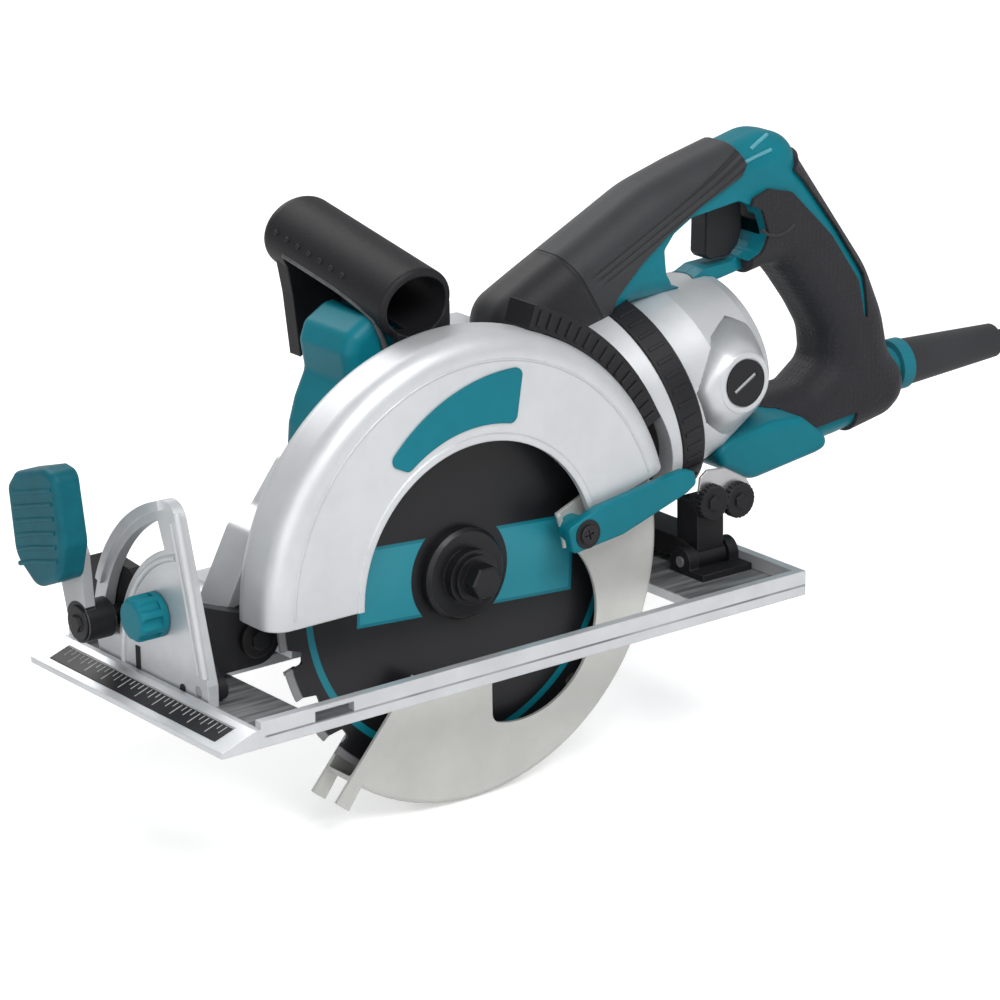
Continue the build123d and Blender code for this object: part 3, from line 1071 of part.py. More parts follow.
SWITCH_X = (194.0, 206.0)
SWITCH_Z = (110.0, 135.0)
SWITCH_W = 18.0
PLUNGER_Z = (118.0, 123.0)
PLUNGER_L = 4.0
with BuildPart() as switch_box:
    extrude(rect(handle_plane(HANDLE_Y + SWITCH_W / 2), SWITCH_X, SWITCH_Z), amount=SWITCH_W)
    chamfer(switch_box.edges().filter_by(Axis.Y), length=1.5)
    extrude(rect(handle_plane(HANDLE_Y + PLUNGER_L / 2), (SWITCH_X[0] - PLUNGER_L, SWITCH_X[0]), PLUNGER_Z),
            amount=PLUNGER_L)
switch_box.part.label = "switch_box"
export_step(switch_box.part, "parts/switch_box.step")

# Front grip across the saw: a hollow tube, open below at its front, on a flange, a wall and a strut
GRIP_DIRECTION = Vector(0, GRIP_FAR[0] - GRIP_NEAR[0], GRIP_FAR[1] - GRIP_NEAR[1])
GRIP_L = GRIP_DIRECTION.length
GRIP_PLANE = Plane(origin=(GRIP_X, GRIP_NEAR[0], ARBOR_Z + GRIP_NEAR[1]), x_dir=(1, 0, 0),
                   z_dir=GRIP_DIRECTION)
HOUSING_TOP = max(z for x, z in HOUSING_POINTS) + SEAT_FIT
GRIP_FLANGE = [(-18, 110), (-14, HOUSING_TOP), (10, HOUSING_TOP), (10, 112)]
GRIP_FLANGE_T = 4.0
GRIP_WALL = [(16, 94), (16, 112), (95, 127), (95, 94)]
GRIP_WALL_X = (5.5, 9.5)
GRIP_FOOT = (HOUSING_TOP, 96)
GRIP_STRUT = [(-24, 126), (-20, 105), (-17, 77), (0, 91), (10, 96), (10, 127)]
GRIP_STRUT_Y = (87.0, 95.0)
GRIP_MOUTH = [(24, 70), (24, 108), (32, 111.5), (50, 116.5), (87, 123), (87, 70)]
with BuildPart() as front_grip:
    extrude(oval(GRIP_PLANE, *GRIP_HALF), amount=GRIP_L)
    fillet(front_grip.edges().sort_by(Axis.Y)[-1], radius=6.0)
    fillet(front_grip.edges().sort_by(Axis.Y)[0], radius=2.0)
    extrude(outline(arbor_plane(GRIP_NEAR[0] + GRIP_FLANGE_T), GRIP_FLANGE), amount=GRIP_FLANGE_T)
    extrude(outline(cross_plane(GRIP_WALL_X[0]), [(y, ARBOR_Z + z) for y, z in GRIP_WALL]),
            amount=GRIP_WALL_X[1] - GRIP_WALL_X[0])
    extrude(rect(arbor_plane(HOUSING_FAR_Y), GRIP_WALL_X, GRIP_FOOT), amount=HOUSING_FAR_Y - GRIP_NEAR[0])
    extrude(outline(arbor_plane(GRIP_STRUT_Y[1]), GRIP_STRUT), amount=GRIP_STRUT_Y[1] - GRIP_STRUT_Y[0])
    extrude(oval(GRIP_PLANE.offset(-GRIP_FLANGE_T), *GRIP_BORE),
            amount=GRIP_L - GRIP_END_WALL + GRIP_FLANGE_T, mode=Mode.SUBTRACT)
    extrude(outline(cross_plane(GRIP_X), [(y, ARBOR_Z + z) for y, z in GRIP_MOUTH]), amount=-2 * GRIP_HALF[0],
            mode=Mode.SUBTRACT)
front_grip.part.label = "front_grip"
export_step(front_grip.part, "parts/front_grip.step")

# Stalk that closes the grip's front over the gear housing
STALK_POINTS = [(-38, 37), (-45, 49), (-44, 60), (-40.5, 71), (-35, 82), (-37, 95), (-34, 103), (-24, 109),
                (-4, 111), (3.5, 104), (3.5, 37)]
STALK_ROUND = (0, 8, 8, 8, 6, 6, 6, 8, 6, 6, 0)
STALK_Y = (24.0, 62.0)
with BuildPart() as front_stalk:
    extrude(outline(arbor_plane(STALK_Y[1]), STALK_POINTS, STALK_ROUND), amount=STALK_Y[1] - STALK_Y[0])
    fillet(front_stalk.faces().filter_by(Axis.Y).edges(), radius=6.0)
    add(motor_space.part, mode=Mode.SUBTRACT)
    extrude(oval(GRIP_PLANE, GRIP_HALF[0] + SEAT_FIT, GRIP_HALF[1] + SEAT_FIT), amount=GRIP_L,
            mode=Mode.SUBTRACT)
front_stalk.part.label = "front_stalk"
export_step(front_stalk.part, "parts/front_stalk.step")

# Shoe: flat plate with a slot for the blade, a rim on three sides and a ramp at the front
SLOT_REACH = LOWER_R + SLOT_MARGIN
NOTCH_X = (-106.0, -87.0)
NOTCH_Z = (SHOE_T, 9.0)
SCALE_Y = (-36.0, 88.0)
SCALE_DEPTH = 0.6
SCALE_X = (-147.5, -137.5)
RAMP_TOP_X = RIDGE_X - 2.5
RAMP_SLOPE = (RIDGE_H - LIP_H) / (RAMP_TOP_X - SHOE_X[0])


def ramp_height(x):
    """Height of the ramp's top at x."""
    return LIP_H + RAMP_SLOPE * (x - SHOE_X[0])


with BuildPart() as shoe:
    extrude(rect(Plane.XY, (RIDGE_X, SHOE_X[1]), SHOE_Y), amount=SHOE_T)
    extrude(outline(side_plane(SHOE_Y[1]),
                    [(SHOE_X[0], 0), (SHOE_X[0], LIP_H), (RAMP_TOP_X, RIDGE_H), (RIDGE_X, RIDGE_H),
                     (RIDGE_X + 0.6, SHOE_T), (RIDGE_X + 0.6, 0)]), amount=SHOE_Y[1] - SHOE_Y[0])
    extrude(rect(Plane.XY, (RIDGE_X, SHOE_X[1]), (SHOE_Y[0], SHOE_Y[0] + RIM_W)), amount=RIM_H)
    extrude(rect(Plane.XY, (SHOE_X[1] - RIM_W, SHOE_X[1]), SHOE_Y), amount=RIM_H)
    extrude(rect(Plane.XY, (RIDGE_X, SHOE_X[1]), (SHOE_Y[1] - RIM_W + 0.5, SHOE_Y[1])), amount=RIM_H)
    slot_corners = [(-SLOT_REACH, SLOT_Y[0]), (SLOT_REACH, SLOT_Y[0]), (SLOT_REACH, SLOT_Y[1]),
                    (-SLOT_REACH, SLOT_Y[1])]
    extrude(outline(Plane.XY, slot_corners, SLOT_CORNER), amount=SHOE_T, mode=Mode.SUBTRACT)
    extrude(rect(side_plane(SHOE_Y[0] + RIM_W), NOTCH_X, NOTCH_Z), amount=RIM_W, mode=Mode.SUBTRACT)
    extrude(outline(side_plane(SCALE_Y[1]),
                    [(SCALE_X[0], ramp_height(SCALE_X[0]) - SCALE_DEPTH),
                     (SCALE_X[1], ramp_height(SCALE_X[1]) - SCALE_DEPTH),
                     (SCALE_X[1], RIDGE_H + 2), (SCALE_X[0], RIDGE_H + 2)]),
            amount=SCALE_Y[1] - SCALE_Y[0], mode=Mode.SUBTRACT)
shoe.part.label = "shoe"
export_step(shoe.part, "parts/shoe.step")

# Bevel quadrant: an arch on the shoe with a wide arc slot for the clamp
QUADRANT_X = PLATE_X[0] - 0.5 - QUADRANT_T
QUADRANT_ANGLES = (8.0, 80.0)
QUADRANT_ROUND = 9.0
SLOT_SPARE = 4.5
KNOB_Y = 28.0
KNOB_Z = 36.0
KNOB_STUD_R = 3.0


def bevel_plane(x):
    """Plane across the saw at x, centred on the bevel axis."""
    return Plane(origin=(x, 0, BEVEL_Z), x_dir=(0, 1, 0), z_dir=(1, 0, 0))


with BuildPart() as bevel_quadrant:
    with BuildSketch(bevel_plane(QUADRANT_X)) as bevel_sketch:
        foot = SHOE_T - BEVEL_Z
        with BuildLine():
            CenterArc((0, 0), QUADRANT_R, QUADRANT_ANGLES[0], QUADRANT_ANGLES[1] - QUADRANT_ANGLES[0])
            Polyline(polar(QUADRANT_R, QUADRANT_ANGLES[1]), (-7, 4), (-7, foot), (74, foot),
                     polar(QUADRANT_R, QUADRANT_ANGLES[0]))
        make_face()
        fillet(bevel_sketch.vertices().sort_by(Axis.Y)[-1], radius=QUADRANT_ROUND)
    extrude(amount=QUADRANT_T)
    extrude(sector(bevel_plane(QUADRANT_X), *QUADRANT_SLOT, BEVEL_BOLT_ANGLE - SLOT_SPARE,
                   BEVEL_BOLT_ANGLE + BEVEL_RANGE + SLOT_SPARE), amount=QUADRANT_T, mode=Mode.SUBTRACT)
    extrude(sector(bevel_plane(QUADRANT_X), QUADRANT_R - 4, QUADRANT_R, 22, QUADRANT_ANGLES[1] - 7),
            amount=-1.5)
    extrude(disc(bevel_plane(QUADRANT_X), BEVEL_PIN_R + SEAT_FIT), amount=QUADRANT_T, mode=Mode.SUBTRACT)
    extrude(disc(cross_plane(QUADRANT_X), KNOB_STUD_R + RUN_FIT, at=(KNOB_Y, KNOB_Z)), amount=QUADRANT_T,
            mode=Mode.SUBTRACT)
bevel_quadrant.part.label = "bevel_quadrant"
export_step(bevel_quadrant.part, "parts/bevel_quadrant.step")

# Stop knob on the quadrant
KNOB_R = 9.5
KNOB_T = 13.0
with BuildPart() as bevel_stop_knob:
    extrude(disc(cross_plane(QUADRANT_X - PASS_GAP - KNOB_T), KNOB_R, at=(KNOB_Y, KNOB_Z)), amount=KNOB_T)
    fillet(bevel_stop_knob.faces().sort_by(Axis.X)[0].edges(), radius=3.0)
    with BuildSketch(cross_plane(QUADRANT_X - PASS_GAP - KNOB_T)):
        with Locations((KNOB_Y, KNOB_Z)):
            with PolarLocations(KNOB_R + 1.5, 8):
                Circle(3.0)
    extrude(amount=KNOB_T - 3, mode=Mode.SUBTRACT)
    extrude(disc(cross_plane(QUADRANT_X - PASS_GAP), KNOB_STUD_R, at=(KNOB_Y, KNOB_Z)),
            amount=PASS_GAP + QUADRANT_T)
bevel_stop_knob.part.label = "bevel_stop_knob"
export_step(bevel_stop_knob.part, "parts/bevel_stop_knob.step")

# Rear bracket: two ears on the shoe round the frame's knuckle
EAR_T = 5.0
EAR_GAP = 0.5
EAR_XS = (KNUCKLE_X[0] - EAR_GAP - EAR_T, KNUCKLE_X[1] + EAR_GAP)
EAR_R = 6.5
EAR_FOOT = 9.0
EAR_FOOT_T = 3.0
EAR_W = 2 * EAR_R + 2 * EAR_FOOT
EAR_ENDS = (EAR_XS[0], EAR_XS[1] + EAR_T)
with BuildPart() as rear_bracket:
    for x in EAR_XS:
        extrude(disc(bevel_plane(x), EAR_R), amount=EAR_T)
        extrude(rect(cross_plane(x), (-EAR_R, EAR_R), (SHOE_T, BEVEL_Z)), amount=EAR_T)
    extrude(rect(Plane.XY.offset(SHOE_T), EAR_ENDS, (-EAR_R - EAR_FOOT, -EAR_R)), amount=EAR_FOOT_T)
    extrude(rect(Plane.XY, EAR_ENDS, (-EAR_W / 2, EAR_W / 2)), amount=SHOE_T, mode=Mode.SUBTRACT)
    extrude(disc(bevel_plane(EAR_XS[0]), BEVEL_PIN_R + SEAT_FIT), amount=EAR_ENDS[1] - EAR_ENDS[0],
            mode=Mode.SUBTRACT)
rear_bracket.part.label = "rear_bracket"
export_step(rear_bracket.part, "parts/rear_bracket.step")

with BuildPart() as bevel_pins:
    extrude(disc(bevel_plane(QUADRANT_X), BEVEL_PIN_R), amount=PLATE_X[1] - QUADRANT_X + 0.5)
    extrude(disc(bevel_plane(EAR_XS[0] - 0.5), BEVEL_PIN_R), amount=EAR_XS[1] + EAR_T - EAR_XS[0] + 1)
bevel_pins.part.label = "bevel_pins"
export_step(bevel_pins.part, "parts/bevel_pins.step")

# Tilt frame: front plate with two ears, rail along the far side, rear crossbar with a tower
PLATE_POINTS = [(0, BEVEL_Z - KNUCKLE_R), (80, 7), (88, 12), (88, 44), (78, 48), (58, 46), (14, 24),
                (0, BEVEL_Z + KNUCKLE_R)]
EAR_POINTS = [(PLATE_X[1], 8), (PLATE_X[1], 40), (-104, 34), (-92, 30), (-92, 8)]
TOWER_Y = (-4.0, 10.0)
TOWER_Z = (14.0, 36.0)
TOWER_DISCS = [(132.0, 36.5), (147.0, 34.5)]
TOWER_DISC_R = 7.5
TOWER_DISC_T = 5.0
with BuildPart() as tilt_frame:
    extrude(outline(cross_plane(PLATE_X[0]), PLATE_POINTS), amount=PLATE_X[1] - PLATE_X[0])
    extrude(disc(bevel_plane(PLATE_X[0]), KNUCKLE_R), amount=PLATE_X[1] - PLATE_X[0])
    for ear in (NEAR_EAR_Y, FAR_EAR_Y):
        extrude(outline(side_plane(ear[1]), EAR_POINTS), amount=ear[1] - ear[0])
        extrude(disc(side_plane(ear[1]), LUG_R, at=(PIVOT_X, PIVOT_Z)), amount=ear[1] - ear[0])
    extrude(rect(side_plane(RAIL_Y[1]), (PIVOT_X - 8, KNUCKLE_X[1]), RAIL_Z), amount=RAIL_Y[1] - RAIL_Y[0])
    extrude(outline(cross_plane(KNUCKLE_X[0]),
                    [(0, BEVEL_Z - KNUCKLE_R), (10, 8), (RAIL_Y[0], 8), (RAIL_Y[0], 18), (10, 18),
                     (0, BEVEL_Z + KNUCKLE_R)]), amount=KNUCKLE_X[1] - KNUCKLE_X[0])
    extrude(disc(bevel_plane(KNUCKLE_X[0]), KNUCKLE_R), amount=KNUCKLE_X[1] - KNUCKLE_X[0])
    extrude(rect(side_plane(TOWER_Y[1]), (KNUCKLE_X[0] + 1, KNUCKLE_X[1] - 1), TOWER_Z),
            amount=TOWER_Y[1] - TOWER_Y[0])
    with BuildSketch(side_plane(TOWER_Y[0])):
        with Locations(*TOWER_DISCS):
            Circle(TOWER_DISC_R)
    extrude(amount=TOWER_DISC_T)
    with BuildSketch(side_plane(TOWER_Y[0] + 6)):
        with Locations(TOWER_DISCS[1]):
            Circle(TOWER_DISC_R)
    extrude(amount=6)
    extrude(disc(bevel_plane(PLATE_X[0]), BEVEL_PIN_R + RUN_FIT), amount=KNUCKLE_X[1] - PLATE_X[0],
            mode=Mode.SUBTRACT)
    extrude(disc(side_plane(FAR_EAR_Y[1]), PIVOT_PIN_R + SEAT_FIT, at=(PIVOT_X, PIVOT_Z)),
            amount=FAR_EAR_Y[1] - NEAR_EAR_Y[0], mode=Mode.SUBTRACT)
    extrude(disc(cross_plane(PLATE_X[0]), BEVEL_STUD_R + RUN_FIT, at=(BEVEL_BOLT_Y, BEVEL_BOLT_Z)),
            amount=PLATE_X[1] - PLATE_X[0], mode=Mode.SUBTRACT)
tilt_frame.part.label = "tilt_frame"
export_step(tilt_frame.part, "parts/tilt_frame.step")

with BuildPart() as depth_pivot_pin:
    extrude(disc(side_plane(FAR_EAR_Y[1]), PIVOT_PIN_R, at=(PIVOT_X, PIVOT_Z)),
            amount=FAR_EAR_Y[1] - NEAR_EAR_Y[0])
depth_pivot_pin.part.label = "depth_pivot_pin"
export_step(depth_pivot_pin.part, "parts/depth_pivot_pin.step")


def pivot_plane(y):
    """Plane square to the depth pivot at y, centred on it."""
    return Plane(origin=(PIVOT_X, y, PIVOT_Z), x_dir=(1, 0, 0), z_dir=(0, -1, 0))


# Depth guide: an arc plate about the depth pivot, slotted for the depth lever's stud
GUIDE_T = DEPTH_GUIDE_Y[1] - DEPTH_GUIDE_Y[0]
GUIDE_SPARE = 2.5
GUIDE_LOW = -5.0
with BuildPart() as depth_guide:
    extrude(sector(pivot_plane(DEPTH_GUIDE_Y[1]), DEPTH_GUIDE_R - DEPTH_GUIDE_W / 2,
                   DEPTH_GUIDE_R + DEPTH_GUIDE_W / 2, GUIDE_LOW, DEPTH_BOLT_ANGLE + DEPTH_RANGE + 5),
            amount=GUIDE_T)
    extrude(sector(pivot_plane(DEPTH_GUIDE_Y[1]), DEPTH_GUIDE_R - DEPTH_STUD_R - PASS_GAP,
                   DEPTH_GUIDE_R + DEPTH_STUD_R + PASS_GAP, DEPTH_BOLT_ANGLE - GUIDE_SPARE,
                   DEPTH_BOLT_ANGLE + DEPTH_RANGE + GUIDE_SPARE), amount=GUIDE_T, mode=Mode.SUBTRACT)
depth_guide.part.label = "depth_guide"
export_step(depth_guide.part, "parts/depth_guide.step")

# Depth lever on the far side, with the stud that clamps the guide
DEPTH_HUB_R = 7.0
DEPTH_ARM_T = 5.0
with BuildPart() as depth_lever:
    hub_y = DEPTH_GUIDE_Y[1] + PASS_GAP
    extrude(disc(side_plane(hub_y + 7), DEPTH_HUB_R, at=DEPTH_BOLT), amount=7)
    extrude(outline(side_plane(hub_y + 7),
                    [(DEPTH_BOLT_X, DEPTH_BOLT_Z - 5), (DEPTH_BOLT_X + 44, DEPTH_BOLT_Z + 2),
                     (DEPTH_BOLT_X + 48, DEPTH_BOLT_Z + 9), (DEPTH_BOLT_X + 43, DEPTH_BOLT_Z + 13),
                     (DEPTH_BOLT_X, DEPTH_BOLT_Z + 6)], 2.0), amount=DEPTH_ARM_T)
    extrude(disc(side_plane(hub_y), DEPTH_STUD_R, at=DEPTH_BOLT), amount=hub_y - COVER_Y + STUD_DEPTH - 0.5)
depth_lever.part.label = "depth_lever"
export_step(depth_lever.part, "parts/depth_lever.step")

# Bevel clamp lever: stud, washer, hub and arm, and a thumb pad on the arm
BEVEL_HUB_R = 8.5
BEVEL_HUB_X = QUADRANT_X - 1.5 - PASS_GAP
BEVEL_ARM_X = (-146.0, -141.0)
PAD_X = (-158.0, -146.0)
BEVEL_BOLT = (BEVEL_BOLT_Y, BEVEL_BOLT_Z)


def from_bolt(points):
    """Points across the saw, measured from the bevel clamp's stud."""
    return [(BEVEL_BOLT_Y + y, BEVEL_BOLT_Z + z) for y, z in points]


with BuildPart() as bevel_lever:
    extrude(disc(cross_plane(BEVEL_ARM_X[0]), BEVEL_HUB_R, at=BEVEL_BOLT),
            amount=BEVEL_HUB_X - BEVEL_ARM_X[0])
    extrude(disc(cross_plane(BEVEL_HUB_X), BEVEL_STUD_R, at=BEVEL_BOLT), amount=PLATE_X[1] - BEVEL_HUB_X)
    extrude(outline(cross_plane(BEVEL_ARM_X[0]),
                    from_bolt([(-6, 0), (-3, 30), (6, 46), (18, 46), (16, 28), (7, -4)]), 2.0),
            amount=BEVEL_ARM_X[1] - BEVEL_ARM_X[0])
bevel_lever.part.label = "bevel_lever"
export_step(bevel_lever.part, "parts/bevel_lever.step")

PAD_POINTS = [(33, 54), (27, 61), (4, 68), (-5, 67), (-10, 38), (-5, 22), (13, 14), (29, 24)]
with BuildPart() as bevel_pad:
    extrude(outline(cross_plane(PAD_X[0]), from_bolt(PAD_POINTS), (5, 5, 5, 5, 8, 8, 8, 12)),
            amount=PAD_X[1] - PAD_X[0])
    fillet(bevel_pad.faces().sort_by(Axis.X)[0].edges(), radius=3.0)
bevel_pad.part.label = "bevel_pad"
export_step(bevel_pad.part, "parts/bevel_pad.step")

# Cord: out of the sleeve, down to the floor and into a tied coil, with a plug at the end
CORD_START = (HANDLE_BASE[0] + SLEEVE_X[1], HANDLE_Y, HANDLE_BASE[1] + SLEEVE_RISE)
CORD_ROUTE = [CORD_START, (392, *CORD_START[1:]), (407, HANDLE_Y, 56), (421, HANDLE_Y, 50.2),
              (433, HANDLE_Y, 41), (442.2, HANDLE_Y, 29), (448, HANDLE_Y, 15), (450, HANDLE_Y, 0),
              (450, 43.2, -13.5), (450, 38, -26.1), (450, 29.7, -37), (450, 18.9, -45.3), (450, 6.2, -50.5),
              (450, -7.3, -52.3), (450, -23.6, -52.3)]


def cord_radii(points):
    """Largest arc that each corner's two runs allow, by 0.45 of the shorter run."""
    radii = []
    for before, at, after in zip(points, points[1:], points[2:]):
        run_in = Vector(*at) - Vector(*before)
        run_out = Vector(*after) - Vector(*at)
        half_turn = math.radians(run_in.get_angle(run_out)) / 2
        radii.append(0.45 * min(run_in.length, run_out.length) / math.tan(half_turn))
    return radii


CORD_RADII = cord_radii(CORD_ROUTE)
with BuildPart() as cord:
    with BuildLine() as cord_line:
        FilletPolyline(*CORD_ROUTE, radius=CORD_RADII)
    with BuildSketch(Plane(origin=CORD_ROUTE[0], z_dir=(1, 0, 0))):
        Circle(CORD_D / 2)
    sweep()
cord.part.label = "cord"
export_step(cord.part, "parts/cord.step")
print("cord radii", [round(radius) for radius in CORD_RADII])
cord_length = cord_line.wires()[0].length
print("cord length", round(cord_length, 1), "volume over section times length",
      round(cord.part.volume / (math.pi * CORD_D ** 2 / 4 * cord_length), 4))

# Coil: an upper layer that winds in, a half turn down, and a lower layer that winds out
COIL_TOP_Z = CORD_ROUTE[-1][2]
COIL_LOW_Z = COIL_TOP_Z - CORD_PITCH
COIL_STEP = CORD_PITCH / 2
COIL_TAIL = 52.0


def coil_point(x, y, z):
    """Point measured from the coil's middle."""
    return (COIL_X + x, COIL_Y + y, z)


with BuildPart() as cord_coil:
    with BuildLine() as coil_line:
        x = COIL_R
        Line(coil_point(x, CORD_D, COIL_TOP_Z), coil_point(x, 0, COIL_TOP_Z))
        for half_turn in range(COIL_HALF_TURNS_IN):
            radius = COIL_R - COIL_STEP * half_turn
            way = 1 if x > 0 else -1
            ThreePointArc(coil_point(x, 0, COIL_TOP_Z),
                          coil_point(x - way * radius, -way * radius, COIL_TOP_Z),
                          coil_point(x - 2 * way * radius, 0, COIL_TOP_Z))
            x -= 2 * way * radius
        radius -= COIL_STEP
        way = 1 if x > 0 else -1
        climb_mid = coil_point(x - way * radius, -way * math.hypot(radius, COIL_STEP),
                               (COIL_TOP_Z + COIL_LOW_Z) / 2)
        climb_end = coil_point(x - 2 * way * radius, 0, COIL_LOW_Z)
        TangentArc(coil_point(x, 0, COIL_TOP_Z), climb_mid, tangent=(0, -way, 0))
        TangentArc(climb_mid, climb_end, tangent=(-way * radius, 0, -COIL_STEP))
        x -= 2 * way * radius
        for half_turn in range(COIL_HALF_TURNS_OUT):
            radius += COIL_STEP
            way = 1 if x > 0 else -1
            ThreePointArc(coil_point(x, 0, COIL_LOW_Z),
                          coil_point(x - way * radius, -way * radius, COIL_LOW_Z),
                          coil_point(x - 2 * way * radius, 0, COIL_LOW_Z))
            x -= 2 * way * radius
        Line(coil_point(x, 0, COIL_LOW_Z), coil_point(x, -COIL_TAIL, COIL_LOW_Z))
    with BuildSketch(Plane(origin=coil_point(COIL_R, CORD_D, COIL_TOP_Z), z_dir=(0, -1, 0))):
        Circle(CORD_D / 2)
    sweep()
COIL_END_X = x
cord_coil.part.label = "cord_coil"
export_step(cord_coil.part, "parts/cord_coil.step")

coil_wire = coil_line.wires()[0]
COIL_STEP_L = 4.0
coil_steps = int(coil_wire.length / COIL_STEP_L)
coil_points = [tuple(coil_wire @ (i / coil_steps)) for i in range(coil_steps + 1)]
apart = int(4 * CORD_D / COIL_STEP_L)
coil_gap = min(math.dist(coil_points[i], coil_points[j]) for i in range(coil_steps + 1)
               for j in range(i + apart, coil_steps + 1)) - CORD_D
print("coil length", round(coil_wire.length, 1), "least gap", round(coil_gap, 2))

# Tie round the coil, and a two-blade plug at the cord's end
TIE_W = 12.0
TIE_SLACK = 0.7
TIE_X = (-COIL_R - CORD_D / 2 - TIE_SLACK, -COIL_R + 3 * CORD_PITCH + CORD_D / 2 + TIE_SLACK)
TIE_Z = (COIL_LOW_Z - CORD_D / 2 - 0.1, COIL_TOP_Z + CORD_D / 2 + 0.1)
with BuildPart() as cord_tie:
    tie_plane = Plane(origin=(COIL_X, COIL_Y + TIE_W / 2, 0), x_dir=(1, 0, 0), z_dir=(0, -1, 0))
    extrude(rect(tie_plane, (TIE_X[0] - TIE_T, TIE_X[1] + TIE_T), (TIE_Z[0] - TIE_T, TIE_Z[1] + TIE_T)),
            amount=TIE_W)
    extrude(rect(tie_plane, TIE_X, TIE_Z), amount=TIE_W, mode=Mode.SUBTRACT)
cord_tie.part.label = "cord_tie"
export_step(cord_tie.part, "parts/cord_tie.step")

PLUG_L = 42.0
PLUG_W = 25.0
PLUG_H = 18.0
PLUG_CORNER = 6.0
PLUG_NECK = (12.0, 10.0, 4.0)
BLADE_PIN = (6.3, 1.5, 17.0)
PIN_SPACING = 12.7
PLUG_Y = COIL_Y - COIL_TAIL
PLUG_Z = COIL_LOW_Z + PLUG_H / 2 - CORD_D / 2 - TIE_T
with BuildPart() as plug:
    with BuildSketch(Plane(origin=(COIL_X + COIL_END_X, PLUG_Y - PLUG_L, PLUG_Z), x_dir=(1, 0, 0),
                           z_dir=(0, 1, 0))):
        RectangleRounded(PLUG_W, PLUG_H, PLUG_CORNER)
    with BuildSketch(Plane(origin=(COIL_X + COIL_END_X, PLUG_Y, COIL_LOW_Z), x_dir=(1, 0, 0),
                           z_dir=(0, 1, 0))):
        RectangleRounded(*PLUG_NECK)
    loft()
    with BuildSketch(Plane(origin=(COIL_X + COIL_END_X, PLUG_Y - PLUG_L, PLUG_Z), x_dir=(1, 0, 0),
                           z_dir=(0, -1, 0))):
        with GridLocations(PIN_SPACING, 0, 2, 1):
            Rectangle(BLADE_PIN[1], BLADE_PIN[0])
    extrude(amount=BLADE_PIN[2])
plug.part.label = "plug"
export_step(plug.part, "parts/plug.step")
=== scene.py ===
import math
import bmesh
import bpy
from mathutils import Matrix, Vector


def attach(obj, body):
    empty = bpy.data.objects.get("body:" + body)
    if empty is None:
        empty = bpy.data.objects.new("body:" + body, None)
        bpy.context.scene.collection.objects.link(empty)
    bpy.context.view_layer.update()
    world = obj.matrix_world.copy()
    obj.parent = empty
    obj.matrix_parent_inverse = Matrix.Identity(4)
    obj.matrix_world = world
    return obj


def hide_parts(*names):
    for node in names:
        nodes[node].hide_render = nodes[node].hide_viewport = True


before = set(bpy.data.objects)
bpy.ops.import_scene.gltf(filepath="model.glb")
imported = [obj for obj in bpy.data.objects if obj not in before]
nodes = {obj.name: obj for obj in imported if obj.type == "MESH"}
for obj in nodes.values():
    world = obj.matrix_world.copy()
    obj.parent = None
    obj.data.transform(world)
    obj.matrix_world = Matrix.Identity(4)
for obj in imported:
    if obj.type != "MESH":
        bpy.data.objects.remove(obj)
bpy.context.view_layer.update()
scene = bpy.context.scene
MM = 0.001

# Camera at the photo's angle
AZIMUTH = math.radians(-36.94)
ELEVATION = math.radians(18.24)
ROLL = math.radians(-0.97)
DISTANCE = 1857.33 * MM
TARGET = Vector((44.89, 30.0, 46.64)) * MM
FOCAL_PX = 4337.78
PICTURE_PX = 1000
SENSOR = 36.0
FAR_CLIP = 50


def place_camera():
    """Camera looking at the target, rolled a little as in the photo."""
    back = Vector((math.sin(AZIMUTH) * math.cos(ELEVATION), -math.cos(AZIMUTH) * math.cos(ELEVATION),
                   math.sin(ELEVATION)))
    level = Vector((math.cos(AZIMUTH), math.sin(AZIMUTH), 0))
    upright = back.cross(level)
    right = math.cos(ROLL) * level + math.sin(ROLL) * upright
    up = math.cos(ROLL) * upright - math.sin(ROLL) * level
    data = bpy.data.cameras.new("camera")
    data.sensor_width = SENSOR
    data.lens = FOCAL_PX / PICTURE_PX * SENSOR
    data.clip_end = FAR_CLIP
    camera = bpy.data.objects.new("camera", data)
    scene.collection.objects.link(camera)
    turn = Matrix((right, up, back)).transposed().to_4x4()
    camera.matrix_world = Matrix.Translation(TARGET + back * DISTANCE) @ turn
    scene.camera = camera


place_camera()

# Cord: the route's points, then the coil's turns
CORD_D = 8.4
CORD_ROUTE = [(346, 45, 58), (392, 45, 58), (407, 45, 56), (421, 45, 50.2), (433, 45, 41),
              (442.2, 45, 29), (448, 45, 15), (450, 45, 0), (450, 43.2, -13.5), (450, 38, -26.1),
              (450, 29.7, -37), (450, 18.9, -45.3), (450, 6.2, -50.5), (450, -7.3, -52.3),
              (450, -23.6, -52.3)]
CORD_PITCH = 9.0
COIL_X = 384.0
COIL_Y = -32.0
COIL_R = 66.0
COIL_TOP_Z = -52.3
COIL_IN = 7
COIL_OUT = 6
COIL_TAIL = 52.0
COIL_TAIL_START = 8.0
HALF_TURN_POINTS = 8


